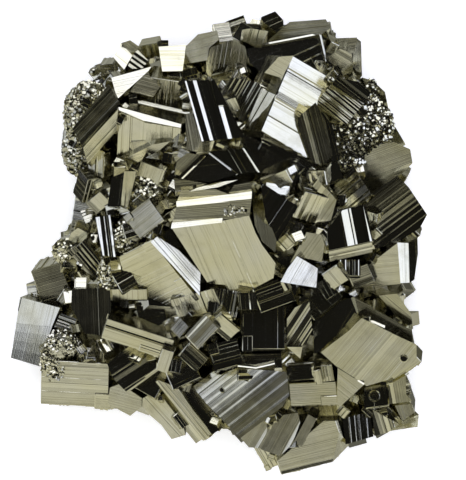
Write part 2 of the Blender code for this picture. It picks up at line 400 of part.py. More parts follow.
def add_box(name, corner, vectors, group):
    """One crystal: a block between a corner and its three edges."""
    bm = bmesh.new()
    bmesh.ops.create_cube(bm, size=1.0)
    bmesh.ops.translate(bm, vec=(0.5, 0.5, 0.5), verts=bm.verts)
    shape = Matrix(vectors).transposed().to_4x4()
    shape.translation = corner
    bmesh.ops.transform(bm, matrix=shape, verts=bm.verts)
    cut_off(bm, CUTS.get(name, []), corner, vectors)
    return add_solid(name, bm, group)


def spread(points):
    """The points of an outline, each moved outwards, so that neighbours grow into each other."""
    before_each = points[-1:] + points[:-1]
    after_each = points[1:] + points[:1]
    turning = sum(point.x * after.y - after.x * point.y for point, after in zip(points, after_each))
    moved = []
    for before, point, after in zip(before_each, points, after_each):
        one = (point - before).xy.normalized()
        two = (after - point).xy.normalized()
        out = Vector((one.y + two.y, -one.x - two.x, 0.0)) / max(1 + one.dot(two), SHARPEST)
        moved.append(point + out * math.copysign(OVERLAP, turning))
    return moved


def add_outlined(name, height, lean, depth, outline, group):
    """One crystal that shows a leaning face with an outline of its own, and fans out as others do."""
    towards, tilt = (math.radians(angle) for angle in lean)
    aside = math.sin(tilt)
    normal = Vector((aside * math.cos(towards), aside * math.sin(towards), math.cos(tilt)))
    points = spread([on_base(right, down, height) for right, down in outline])
    middle = sum(points, Vector()) / len(points)
    for point in points:
        point.z -= (point - middle).xy.dot(normal.xy) / normal.z
    bm = bmesh.new()
    bm.faces.new([bm.verts.new(point) for point in points])
    made = bmesh.ops.extrude_face_region(bm, geom=bm.faces[:])["geom"]
    lower = [item for item in made if isinstance(item, bmesh.types.BMVert)]
    inwards = -middle.xy * middle.xy.length * FAN
    bmesh.ops.translate(bm, vec=Vector((inwards.x, inwards.y, -1.0)) * depth, verts=lower)
    return add_solid(name, bm, group)


def add_growth_steps(name, corner, vectors, group, rng):
    """Raised bands that run along the upper faces of a crystal, one to each face."""
    for i in range(3):
        run, width, depth = (vectors[(i + k) % 3] for k in range(3))
        if min(run.length, width.length) < STEPPED_FROM / 2:
            continue
        start = rng.uniform(*STEP_STARTS)
        share = rng.uniform(*STEP_WIDTHS)
        height = rng.uniform(*STEP_HEIGHTS)
        inset = STEP_INSET / run.length
        out = -depth.normalized() * height
        band_corner = corner + run * inset + width * start + out
        band = [run * (1 - 2 * inset), width * share, -out * 2]
        add_box("%s_step_%d" % (name, i), band_corner, band, group)


def outline_at(scale):
    """The mound's outline, drawn in or out from its middle."""
    points = [on_base(right, down, 0.0) for right, down in MOUND_OUTLINE]
    return [point * scale for point in points]


def add_mound(group):
    """The ore that carries the crystals: one stepped, many-sided hill."""
    bm = bmesh.new()
    first_height, first_scale = MOUND_LEVELS[0]
    ring = [bm.verts.new(point + Vector((0, 0, first_height))) for point in outline_at(first_scale)]
    face = bm.faces.new(ring)
    for (low, low_scale), (high, high_scale) in zip(MOUND_LEVELS, MOUND_LEVELS[1:]):
        made = bmesh.ops.extrude_face_region(bm, geom=[face])["geom"]
        verts = [item for item in made if isinstance(item, bmesh.types.BMVert)]
        if low != first_height:
            bmesh.ops.delete(bm, geom=[face], context="FACES_ONLY")
        face = next(item for item in made if isinstance(item, bmesh.types.BMFace))
        spread = high_scale / low_scale
        bmesh.ops.scale(bm, vec=(spread, spread, 1), verts=verts)
        bmesh.ops.translate(bm, vec=(0, 0, high - low), verts=verts)
    return add_solid("mound", bm, group)


def add_grain_mound(name, middle, half_widths, group, rng):
    """A low, many-sided lump, which carries fine grains."""
    bm = bmesh.new()
    bmesh.ops.create_icosphere(bm, subdivisions=1, radius=MOUND_RADIUS)
    for vert in bm.verts:
        vert.co *= rng.uniform(*MOUND_BUMPS)
    turn = Euler([rng.uniform(0, math.pi) for _ in range(3)]).to_matrix().to_4x4()
    bmesh.ops.transform(bm, matrix=turn, verts=bm.verts)
    bmesh.ops.scale(bm, vec=half_widths, verts=bm.verts)
    bmesh.ops.translate(bm, vec=on_base(*middle), verts=bm.verts)
    return add_solid(name, bm, group)


def inside(point, outline):
    """Whether a point stands inside an outline, seen from above."""
    crossings = 0
    for one, two in zip(outline, outline[1:] + outline[:1]):
        if (one.y > point.y) != (two.y > point.y):
            share = (point.y - one.y) / (two.y - one.y)
            if point.x < one.x + share * (two.x - one.x):
                crossings += 1
    return crossings % 2 == 1


def add_flank_crystals(group):
    """Blocks on the sides of the mound, each kept inside the outline seen from above."""
    rng = random.Random(FLANK_SEED)
    outline = outline_at(1.0)
    foot = outline_at(FLANK_SCALE)
    signs = [Vector((a, b, c)) / 2 for a in (-1, 1) for b in (-1, 1) for c in (-1, 1)]
    for number in range(FLANK_COUNT):
        place = (number + rng.random()) / FLANK_COUNT * len(foot)
        one, two = foot[int(place) % len(foot)], foot[(int(place) + 1) % len(foot)]
        spot = one.lerp(two, place % 1)
        spot.z = rng.uniform(*FLANK_HEIGHTS)
        size = rng.uniform(*FLANK_SIZES)
        sides = Vector([size * rng.uniform(*FLANK_SHAPES) for _ in range(3)])
        outward = math.atan2(spot.y, spot.x) + rng.uniform(-FLANK_TURN, FLANK_TURN)
        roll = Euler((rng.uniform(0, math.pi / 2), rng.uniform(-FLANK_TILT, FLANK_TILT), 0))
        shape = Matrix.Rotation(outward, 3, "Z") @ roll.to_matrix() @ Matrix.Diagonal(sides)
        reach = [shape @ sign for sign in signs]
        while not all(inside(spot + arm, outline) for arm in reach):
            spot -= spot.xy.normalized().to_3d() * FLANK_PULL
        add_box("flank_%02d" % number, spot + reach[0], list(shape.col), group)


def join_all(group):
    """One closed solid from all the shapes, cut off flat at the base."""
    mound = group.objects["mound"]
    others = bpy.data.collections.new("others")
    for solid in list(group.objects):
        if solid is not mound:
            others.objects.link(solid)
    union = mound.modifiers.new("grown together", "BOOLEAN")
    union.operation = "UNION"
    union.solver = "EXACT"
    union.operand_type = "COLLECTION"
    union.collection = others
    bm = bmesh.new()
    bmesh.ops.create_cube(bm, size=GROUND_SIZE)
    bmesh.ops.translate(bm, vec=(0, 0, -GROUND_SIZE / 2), verts=bm.verts)
    ground = add_solid("ground", bm, group)
    cut = mound.modifiers.new("flat base", "BOOLEAN")
    cut.operation = "DIFFERENCE"
    cut.solver = "EXACT"
    cut.object = ground
    seen = mound.evaluated_get(bpy.context.evaluated_depsgraph_get())
    return bpy.data.meshes.new_from_object(seen)


def clean_up(mesh):
    """Cleans the joined solid, and takes out closed pockets, which would be sealed hollows."""
    bm = bmesh.new()
    bm.from_mesh(mesh)
    bmesh.ops.dissolve_degenerate(bm, dist=SHORTEST_EDGE * MM, edges=bm.edges)
    bmesh.ops.dissolve_limit(bm, angle_limit=FLATTEST_EDGE, verts=bm.verts, edges=bm.edges)
    bmesh.ops.triangulate(bm, faces=bm.faces)
    left = set(bm.faces)
    shells = []
    while left:
        shell = []
        edge_of_shell = [left.pop()]
        while edge_of_shell:
            face = edge_of_shell.pop()
            shell.append(face)
            for edge in face.edges:
                for other in edge.link_faces:
                    if other in left:
                        left.remove(other)
                        edge_of_shell.append(other)
        shells.append(shell)
    shells.sort(key=len)
    for shell in shells[:-1]:
        bmesh.ops.delete(bm, geom=shell, context="FACES")
    bm.to_mesh(mesh)
    bm.free()


def pyrite_material():
    """Pale brassy metal, bright where it is clean."""
    material = bpy.data.materials.new("pyrite")
    material.use_nodes = True
    shader = material.node_tree.nodes["Principled BSDF"]
    shader.inputs["Base Color"].default_value = (0.55, 0.52, 0.36, 1.0)
    shader.inputs["Metallic"].default_value = 1.0
    shader.inputs["Roughness"].default_value = 0.28
    return material


def main():
    for thing in list(bpy.data.objects):
        bpy.data.objects.remove(thing)
    group = bpy.data.collections.new("shapes")
    bpy.context.scene.collection.children.link(group)
    add_mound(group)
    rng = random.Random(STEP_SEED)
    for name, near_corner, *edges in CORNER_CRYSTALS:
        corner, vectors = corner_box(near_corner, *edges)
        add_box(name, corner, vectors, group)
        if max(vector.length for vector in vectors) > STEPPED_FROM:
            add_growth_steps(name, corner, vectors, group, rng)
    for name, face_centre, lean, edge, size in FACE_CRYSTALS:
        corner, vectors = face_box(face_centre, lean, edge, size)
        add_box(name, corner, vectors, group)
    for name, height, lean, depth, outline in OUTLINED_CRYSTALS:
        add_outlined(name, height, lean, depth, outline, group)
    for name, middle, half_widths in GRAIN_MOUNDS:
        add_grain_mound(name, middle, half_widths, group, rng)
    add_flank_crystals(group)
    mesh = join_all(group)
    clean_up(mesh)
    for solid in list(group.objects):
        bpy.data.objects.remove(solid)
    mesh.name = "pyrite_cluster"
    mesh.materials.clear()
    mesh.materials.append(pyrite_material())
    cluster = bpy.data.objects.new("pyrite_cluster", mesh)
    bpy.context.scene.collection.objects.link(cluster)


main()
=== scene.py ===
import json
import math
import random

import bmesh
import bpy
from mathutils import Euler, Matrix, Vector
from mathutils.bvhtree import BVHTree

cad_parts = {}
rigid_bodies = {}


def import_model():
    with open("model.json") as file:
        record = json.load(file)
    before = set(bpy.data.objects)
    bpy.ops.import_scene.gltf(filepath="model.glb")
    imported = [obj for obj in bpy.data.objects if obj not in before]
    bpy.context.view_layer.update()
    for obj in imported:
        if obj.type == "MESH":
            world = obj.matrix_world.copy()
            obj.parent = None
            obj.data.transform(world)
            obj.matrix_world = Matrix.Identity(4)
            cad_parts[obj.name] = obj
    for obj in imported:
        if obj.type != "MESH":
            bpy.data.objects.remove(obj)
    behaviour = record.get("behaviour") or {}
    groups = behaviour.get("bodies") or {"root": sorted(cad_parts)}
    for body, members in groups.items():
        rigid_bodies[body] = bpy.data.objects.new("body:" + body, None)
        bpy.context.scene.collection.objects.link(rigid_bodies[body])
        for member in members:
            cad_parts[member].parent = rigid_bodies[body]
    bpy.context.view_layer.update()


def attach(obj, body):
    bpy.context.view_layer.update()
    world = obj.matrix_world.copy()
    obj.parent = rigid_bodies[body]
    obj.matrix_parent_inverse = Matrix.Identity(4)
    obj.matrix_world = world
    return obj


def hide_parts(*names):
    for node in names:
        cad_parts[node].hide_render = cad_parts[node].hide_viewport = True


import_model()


# Camera. The photograph looks straight at the crystal side from far off, so the camera hangs high
# above the cluster with a long lens, and +Y is the top of the picture.
MM = 0.001
CAMERA_PLACE = (3.5 * MM, 0.5 * MM, 3.035)


def add_object(name, data):
    """Puts a camera, a lamp or a mesh into the scene."""
    added = bpy.data.objects.new(name, data)
    bpy.context.scene.collection.objects.link(added)
    return added


camera_data = bpy.data.cameras.new("camera")
camera_data.lens = 900.0
camera_data.sensor_width = 36.0
camera = add_object("camera", camera_data)
camera.location = CAMERA_PLACE
bpy.context.scene.camera = camera
bpy.context.scene.view_settings.view_transform = "Standard"


# Floor. A plain white table top under the cluster. It doesn't mirror in the metal, which shows the
# studio instead.
FLOOR_SIZE = 6.0
FLOOR_GAP = 0.2 * MM
bm = bmesh.new()
bmesh.ops.create_grid(bm, x_segments=1, y_segments=1, size=FLOOR_SIZE / 2)
bmesh.ops.translate(bm, vec=(0, 0, -FLOOR_GAP), verts=bm.verts)
floor_mesh = bpy.data.meshes.new("floor")
bm.to_mesh(floor_mesh)
bm.free()
floor = add_object("floor", floor_mesh)
floor.visible_glossy = False
floor_paint = bpy.data.materials.new("white_table")
floor_paint.use_nodes = True
floor_shader = floor_paint.node_tree.nodes["Principled BSDF"]
floor_shader.inputs["Base Color"].default_value = (0.9, 0.9, 0.9, 1.0)
floor_shader.inputs["Roughness"].default_value = 0.9
floor_shader.inputs["Specular IOR Level"].default_value = 0.1
floor_shader.inputs["Emission Color"].default_value = (1.0, 1.0, 1.0, 1.0)
floor_shader.inputs["Emission Strength"].default_value = 0.45
floor_mesh.materials.append(floor_paint)


# Light. A soft lamp straight above lights the table. The metal shows only its surroundings, so the
# world is a studio: dark overhead, with soft panels around the sides at the heights given here.
LAMP_HEIGHT = 2.4
table_lamp = bpy.data.lights.new("table_lamp", "AREA")
table_lamp.shape = "DISK"
table_lamp.size = 1.6
table_lamp.energy = 40.0
lamp = add_object("table_lamp", table_lamp)
lamp.location = (0.0, 0.0, LAMP_HEIGHT)
lamp.visible_glossy = False

# Each panel: the way it stands, in degrees from the right towards the top, half its width, the
# angles from straight up between which it hangs, how soft its edges are, and its light.
PANELS = [
    (256.0, 50.0, 48.0, 126.0, 14.0, (0.8, 0.8, 0.73)),
    (3.0, 28.0, 52.0, 104.0, 5.0, (1.6, 1.72, 2.4)),
    (100.0, 24.0, 42.0, 68.0, 4.0, (2.0, 2.06, 2.5)),
    (184.0, 22.0, 52.0, 92.0, 9.0, (1.1, 1.18, 1.52)),
    (105.0, 46.0, 84.0, 165.0, 10.0, (0.32, 0.33, 0.33)),
    (345.0, 30.0, 106.0, 150.0, 8.0, (0.45, 0.45, 0.42)),
    (45.0, 22.0, 70.0, 130.0, 10.0, (0.1, 0.1, 0.09)),
]
DARK_ROOM = (0.012, 0.012, 0.012)
# The glow that comes up from the table, and the angles from straight up where it begins and is full.
LOW_GLOW = (0.12, 0.12, 0.1)
GLOW_ANGLES = (112.0, 150.0)
# What the camera itself sees past the table.
PALE_VIEW = (0.86, 0.87, 0.88, 1.0)


def add_node(tree, kind, settings, inputs):
    """Adds a node with its settings, and inputs that are values or other nodes' outputs."""
    node = tree.nodes.new(kind)
    for name, value in settings.items():
        setattr(node, name, value)
    for socket, value in inputs.items():
        if isinstance(value, bpy.types.NodeSocket):
            tree.links.new(value, node.inputs[socket])
        else:
            node.inputs[socket].default_value = value
    return node


def add_math(tree, operation, *values):
    """Adds a Math node, and returns what it gives."""
    return add_node(tree, "ShaderNodeMath", {"operation": operation}, dict(enumerate(values))).outputs[0]


def add_step(tree, value, start, end):
    """Adds a smooth rise from 0, where the value is start, to 1, where it is end."""
    inputs = {"Value": value, "From Min": start, "From Max": end}
    return add_node(tree, "ShaderNodeMapRange", {"interpolation_type": "SMOOTHSTEP"}, inputs).outputs[0]


def add_colours(tree, operation, one, two):
    """Adds a Vector Math node on two colours, and returns what it gives."""
    return add_node(tree, "ShaderNodeVectorMath", {"operation": operation}, {0: one, 1: two}).outputs[0]


world = bpy.data.worlds.new("studio")
world.use_nodes = True
bpy.context.scene.world = world
room = world.node_tree
room.nodes.clear()
way = add_node(room, "ShaderNodeTexCoord", {}, {}).outputs["Generated"]
look = add_node(room, "ShaderNodeSeparateXYZ", {}, {0: way})
from_up = add_math(room, "DEGREES", add_math(room, "ARCCOSINE", look.outputs["Z"]))
around = add_math(room, "DEGREES", add_math(room, "ARCTAN2", look.outputs["Y"], look.outputs["X"]))
glow = add_step(room, from_up, *GLOW_ANGLES)
light = add_colours(room, "ADD", DARK_ROOM, add_colours(room, "MULTIPLY", LOW_GLOW, glow))
for middle, half, top, bottom, soft, colour in PANELS:
    turned = add_math(room, "WRAP", add_math(room, "SUBTRACT", around, middle), -180.0, 180.0)
    panel = add_step(room, add_math(room, "ABSOLUTE", turned), half + soft, half - soft)
    panel = add_math(room, "MULTIPLY", panel, add_step(room, from_up, top - soft, top + soft))
    panel = add_math(room, "MULTIPLY", panel, add_step(room, from_up, bottom + soft, bottom - soft))
    light = add_colours(room, "ADD", light, add_colours(room, "MULTIPLY", colour, panel))
panels = add_node(room, "ShaderNodeBackground", {}, {"Color": light})
plain = add_node(room, "ShaderNodeBackground", {}, {"Color": PALE_VIEW})
seen_by_camera = add_node(room, "ShaderNodeLightPath", {}, {}).outputs["Is Camera Ray"]
views = {0: seen_by_camera, 1: panels.outputs[0], 2: plain.outputs[0]}
sky = add_node(room, "ShaderNodeMixShader", {}, views)
add_node(room, "ShaderNodeOutputWorld", {}, {"Surface": sky.outputs[0]})


# Pyrite. Pale brassy metal with a greenish cast. Fine growth lines run along every face. Clean
# faces are near mirrors, and others are dulled, streaked or browned by a thin tarnish.
CLEAN_METAL = (0.6, 0.577, 0.42, 1.0)
BROWNED_METAL = (0.36, 0.335, 0.2, 1.0)
# Noise that shows as lines: how many there are to a millimetre along the growth lines and across
# them, its detail and its roughness.
FINE_LINES = (0.01, 4.0, 3.0, 0.65)
BROAD_STREAKS = (0.02, 0.9, 4.0, 0.6)
THIN_SCORES = (0.005, 2.4, 3.0, 0.7)
# Noise in soft patches: how many there are to a metre, its detail and its roughness.
TARNISH_PATCHES = (95.0, 4.0, 0.6)
FACE_WAVES = (110.0, 2.0, 0.45)
COLOUR_DRIFT = (75.0, 2.0, 0.5)
# Where noise browns the metal: the values where that begins and is full, and how brown it then is.
PATCHES_BROWN = (0.5, 0.78, 0.55)
STREAKS_BROWN = (0.55, 0.74, 0.5)
SCORES_BROWN = (0.56, 0.72, 0.5)
# Ranges that noise is turned into: the noise's lowest and highest, then the result's.
SATURATION_RANGE = (0.35, 0.7, 0.8, 1.25)
ROUGHNESS_RANGE = (0.3, 0.75, 0.06, 0.2)
# How much more the waves weigh than the fine lines in the relief, and how high that stands.
WAVE_WEIGHT = 4.0
RELIEF_HEIGHT = 0.06 * MM
RELIEF_STRENGTH = 0.5
pyrite = bpy.data.materials.new("pyrite")
pyrite.use_nodes = True
ore = pyrite.node_tree
metal = ore.nodes["Principled BSDF"]
metal.inputs["Metallic"].default_value = 1.0
grown = add_node(ore, "ShaderNodeUVMap", {"uv_map": "growth"}, {}).outputs[0]
place = add_node(ore, "ShaderNodeTexCoord", {}, {}).outputs["Object"]
own_tone = add_node(ore, "ShaderNodeAttribute", {"attribute_name": "own_tone"}, {}).outputs["Fac"]


def add_lines(along, across, detail, roughness):
    """Adds noise drawn out along the growth lines of each face."""
    stretch = {"Vector": grown, "Scale": (along, across, 1.0)}
    drawn_out = add_node(ore, "ShaderNodeMapping", {}, stretch).outputs[0]
    inputs = {"Vector": drawn_out, "Scale": 1.0, "Detail": detail, "Roughness": roughness}
    return add_node(ore, "ShaderNodeTexNoise", {"noise_dimensions": "2D"}, inputs).outputs[0]


def add_patches(scale, detail, roughness):
    """Adds noise that changes softly from place to place."""
    inputs = {"Vector": place, "Scale": scale, "Detail": detail, "Roughness": roughness}
    return add_node(ore, "ShaderNodeTexNoise", {}, inputs).outputs[0]


def add_brown(noise, start, end, strength):
    """Adds the share of brown that a noise gives."""
    return add_math(ore, "MULTIPLY", add_step(ore, noise, start, end), strength)


def add_range(noise, low, high, new_low, new_high):
    """Adds a node that turns a noise into another range."""
    inputs = {"Value": noise, "From Min": low, "From Max": high, "To Min": new_low, "To Max": new_high}
    return add_node(ore, "ShaderNodeMapRange", {}, inputs).outputs[0]


patches = add_patches(*TARNISH_PATCHES)
browned = add_brown(patches, *PATCHES_BROWN)
streaked = add_brown(add_lines(*BROAD_STREAKS), *STREAKS_BROWN)
scored = add_brown(add_lines(*THIN_SCORES), *SCORES_BROWN)
worn = add_math(ore, "MAXIMUM", add_math(ore, "MAXIMUM", browned, streaked), scored)
tarnish = add_node(ore, "ShaderNodeMix", {"data_type": "RGBA"}, {0: worn, 6: CLEAN_METAL, 7: BROWNED_METAL})
saturation = add_range(add_patches(*COLOUR_DRIFT), *SATURATION_RANGE)
toning = {"Color": tarnish.outputs[2], "Saturation": saturation, "Value": own_tone}
toned = add_node(ore, "ShaderNodeHueSaturation", {}, toning)
ore.links.new(toned.outputs["Color"], metal.inputs["Base Color"])
ore.links.new(add_range(patches, *ROUGHNESS_RANGE), metal.inputs["Roughness"])
relief = add_math(ore, "MULTIPLY_ADD", add_patches(*FACE_WAVES), WAVE_WEIGHT, add_lines(*FINE_LINES))
raising = {"Height": relief, "Strength": RELIEF_STRENGTH, "Distance": RELIEF_HEIGHT}
raised = add_node(ore, "ShaderNodeBump", {}, raising)
ore.links.new(raised.outputs["Normal"], metal.inputs["Normal"])


# Crystals. Pyrite grows as blocks whose faces step up and down in narrow bands, so each face is
# lined, and its lines run at right angles to those of the faces beside it. They grew into each
# other and into the mound of ore, so they are one body.

# Places are on the drawing grid, in millimetres right and down. This is the base's middle on it.
MIDDLE_RIGHT = 54.75
MIDDLE_DOWN = 60.5
# The width of a crystal's worn edges, the greatest share of its shortest side that this takes, and
# how many such widths a band's edge keeps from the face's own.
EDGE_WEAR = 0.07
WEAR_SHARE = 0.12
WEAR_ROOM = 1.3
# The width of the step between two bands, and how near to a face's plane a point counts as on it.
CLIFF = 0.04
FLAT = 1e-6
# How far an outlined face is spread outwards, the least divisor at its sharp corners, and how its
# sides lean in below it: this much times the square of its distance from the middle.
OVERLAP = 0.05
SHARPEST = 0.4
FAN = 0.0002
# The share of the metal's own lightness that crystals, outlined crystals and single faces have.
CRYSTAL_TONES = (0.94, 1.06)
OUTLINED_TONES = (0.94, 1.04)
FACE_TONES = (0.97, 1.03)
# How far apart the maps of crystals may lie, and those of the sides of one crystal.
MAP_SHIFTS = (0, 90)
SIDE_SHIFT = 30
# Smaller blocks that stand out of a large crystal: one for so many millimetres of its longest side,
# how far they stand out, the share of a side that they reach past its end, the shares of it that
# they take, their greatest depth, the share of the crystal's that it is, and their worn edges.
OFFSHOOT_SPACING = 9
OFFSHOOT_STANDS = (0.1, 0.4)
OFFSHOOT_REACH = 0.04
OFFSHOOT_SHARES = (0.16, 0.5)
OFFSHOOT_DEPTH = 2.5
OFFSHOOT_DEPTH_SHARE = 0.8
OFFSHOOT_WEAR = 0.1

# How the bands of a face may run: their narrowest and widest, in millimetres, the share of them
# that slope, how steeply those slope, how much the others lean, in degrees, and the highest they
# stand.
HABITS = {
    "fine": (0.2, 1.6, 0.1, (2, 6), 0.6, 0.12),
    "calm": (0.25, 2.6, 0.14, (4, 12), 0.5, 0.22),
    "lined": (0.2, 1.4, 0.3, (6, 22), 1.5, 0.35),
    "combed": (0.16, 0.6, 0.6, (8, 28), 2.0, 0.3),
    "zebra": (0.4, 1.8, 0.5, (16, 30), 2.0, 0.7),
    "plain": (1.2, 5.0, 0.06, (3, 10), 0.3, 0.12),
    "dark": (0.5, 3.5, 0.05, (8, 22), 1.0, 0.25),
}

# Faces whose bands stand out: for each band, the share of the way across where it ends, and how
# steeply it rises, in degrees.
BANDS = {
    "great_top": [(0.14, 31), (0.5, 0), (0.53, -20), (0.72, 31), (0.86, -6), (1.0, 8)],
    "bright_face": [
        (0.1, 0), (0.2, 1), (0.215, 20), (0.4, -1), (0.415, 26), (0.43, 0), (0.445, 28), (0.53, 12),
        (0.55, -2), (0.74, 0), (0.79, 9), (0.81, 15), (0.83, 0), (0.85, 28), (1.0, -1),
    ],
    "pillar_face": [(0.05, -24), (0.19, 2), (0.28, -24), (0.36, 1), (0.61, -3), (0.72, -24), (1.0, 3)],
    "shelf_top": [(0.3, -4), (0.5, 0), (0.57, 28), (1.0, -4)],
    "roof_face": [(0.5, 0), (0.53, 24), (0.62, -1), (0.65, 22), (0.96, 1), (1.0, -26)],
    "roof_streaks": [(0.4, 0), (0.425, 31), (0.55, 1), (0.575, 31), (1.0, 0)],
    "bright_side": [
        (0.2, 0), (0.25, 6), (0.5, -2), (0.53, 22), (0.62, 0), (0.66, 7), (0.8, 1), (0.84, 5), (1.0, 2),
    ],
    "silver_face": [
        (0.06, 9), (0.1, 1), (0.18, 10), (0.24, 7), (0.27, -3), (0.36, 8), (0.42, 4), (0.45, -6), (0.5, 5),
        (0.57, 0), (0.6, -9), (0.68, -2), (0.72, -10), (0.77, -4), (0.83, -11), (0.87, -6), (1.0, -10),
    ],
    "banded_face": [(0.4, 1), (0.43, -6), (0.6, -23), (0.62, 0), (0.67, -20), (0.95, 1), (1.0, -24)],
    "foot_stripes": [
        (0.06, 0), (0.09, 32), (0.36, 1), (0.48, 32), (0.56, 9), (0.6, 30), (0.63, 0), (0.92, 1), (1.0, 0),
    ],
    "olive_stripes": [
        (0.12, 0), (0.14, 16), (0.24, 1), (0.26, 17), (0.34, 3), (0.37, 19.5), (0.42, 12), (0.46, 19),
        (0.5, 13), (0.58, 20), (0.62, 14), (0.66, 19), (0.74, 15), (0.78, 18.5), (0.92, 14), (0.94, 17),
        (1.0, 12),
    ],
    "tip_stripes": [
        (0.15, 0), (0.3, -18), (0.4, 0), (0.52, -18), (0.62, 1), (0.72, -18), (0.85, 0), (1.0, -18),
    ],
    "left_banded": [
        (0.28, -23), (0.5, 2), (0.56, -23), (0.7, 1), (0.74, -22), (0.8, 0), (0.94, -22), (1.0, 2),
    ],
    "post_streaks": [
        (0.1, 0), (0.14, 22), (0.2, 2), (0.3, 20), (0.34, 0), (0.37, 22), (0.55, 1), (0.62, 18), (0.7, 21),
        (0.85, 0), (1.0, 19),
    ],
    "comb_lines": [
        (0.04, 0), (0.07, 20), (0.13, 0), (0.17, 22), (0.19, 1), (0.24, 20), (0.3, 0), (0.32, 19),
        (0.36, 1), (0.43, 21), (0.45, 0), (0.47, 20), (0.55, -1), (0.58, 22), (0.62, 19), (0.7, 1),
        (0.73, 20), (0.8, 0), (0.83, 21), (0.86, 1), (0.9, 20), (0.96, 0), (1.0, 20),
    ],
    "shaded_lines": [
        (0.08, 0), (0.11, -20), (0.2, 1), (0.22, -19), (0.25, 2), (0.3, -21), (0.42, 0), (0.44, -19),
        (0.5, 2), (0.54, 19), (0.58, 0), (0.61, 20), (0.68, 1), (0.74, 19), (0.84, 0), (0.88, 20), (1.0, 1),
    ],
    "navy_streaks": [
        (0.2, 0), (0.26, -7), (0.4, 2), (0.44, -8), (0.5, 1), (0.6, -6), (0.8, 0), (0.85, -7), (1.0, 0),
    ],
    "slotted": [(0.55, 0), (0.6, -8), (0.66, 40), (0.72, -30), (1.0, 0)],
}

# Crystals with a corner towards the eye. A line gives the near corner (right, down and height) in
# millimetres, then the corner's three edges: the way each one is seen to run, in degrees from the
# right towards the top, and the length that is seen. The last values are the edge that the lines
# of the first two edges' face run along, and the habits of the corner's three faces.
CORNER_CRYSTALS = [
    ("great_block", (62.0, 53.8, 49.5), (191, 20.0), (287, 18.5), (83, 9.5), 1,
        ("fine", "great_top", "lined")),
    ("bright_block", (65.3, 32.8, 51.0), (67, 20.2), (330, 17.0), (177, 7.0), 1,
        ("bright_face", "lined", "calm")),
    ("zebra_pillar", (50.8, 35.3, 44.5), (106, 16.0), (8, 10.8), (242, 4.5), 0, ("calm", "lined", "plain")),
    ("upper_left_block", (45.3, 31.8, 44.0), (167, 16.0), (267, 12.0), (52, 7.5), 1,
        ("calm", "shelf_top", "plain")),
    ("roof_block", (79.8, 8.8, 35.5), (188, 14.5), (279.5, 11.0), (53, 4.8), 0,
        ("roof_face", "plain", "plain")),
    ("combed_block", (82.5, 21.4, 42.3), (320, 11.5), (227, 4.6), (54, 5.5), 0,
        ("combed", "combed", "lined")),
    ("shaded_comb", (54.0, 25.8, 43.0), (60, 10.0), (324, 9.0), (222, 4.0), 0,
        ("combed", "lined", "lined")),
    ("stepped_block", (38.0, 60.2, 49.0), (308, 18.0), (206, 10.5), (66, 3.0), 1,
        ("fine", "lined", "lined")),
    ("small_left_cube", (26.0, 38.0, 35.0), (268, 6.5), (160, 4.0), (20, 3.0), 0,
        ("lined", "lined", "lined")),
    ("long_blade", (43.0, 97.0, 34.0), (309, 15.0), (214, 4.0), (45, 5.0), 0, ("lined", "lined", "lined")),
    ("silver_block", (60.2, 108.6, 33.5), (38, 16.0), (132, 17.5), (275, 2.2), 0,
        ("silver_face", "plain", "lined")),
    ("right_low_block", (90.0, 79.8, 43.0), (334, 15.3), (224, 13.3), (99, 9.3), 1,
        ("fine", "dark", "plain")),
    ("right_banded_cube", (82.4, 62.4, 46.0), (11, 11.0), (101.5, 9.5), (272, 3.2), 1,
        ("calm", "lined", "lined")),
    ("small_bright_cube", (76.3, 48.0, 50.0), (345, 7.5), (245, 7.0), (110, 4.0), 1,
        ("lined", "lined", "lined")),
    ("corner_left_cube", (28.0, 16.0, 25.0), (180, 3.2), (275, 3.0), (60, 2.0), 0,
        ("lined", "lined", "lined")),
    ("left_crest", (22.0, 45.0, 33.0), (255, 6.0), (5, 3.5), (130, 3.5), 0, ("lined", "lined", "lined")),
    ("mid_left_prism", (41.3, 49.7, 44.3), (250, 6.5), (345, 4.0), (120, 5.0), 0,
        ("lined", "lined", "lined")),
]

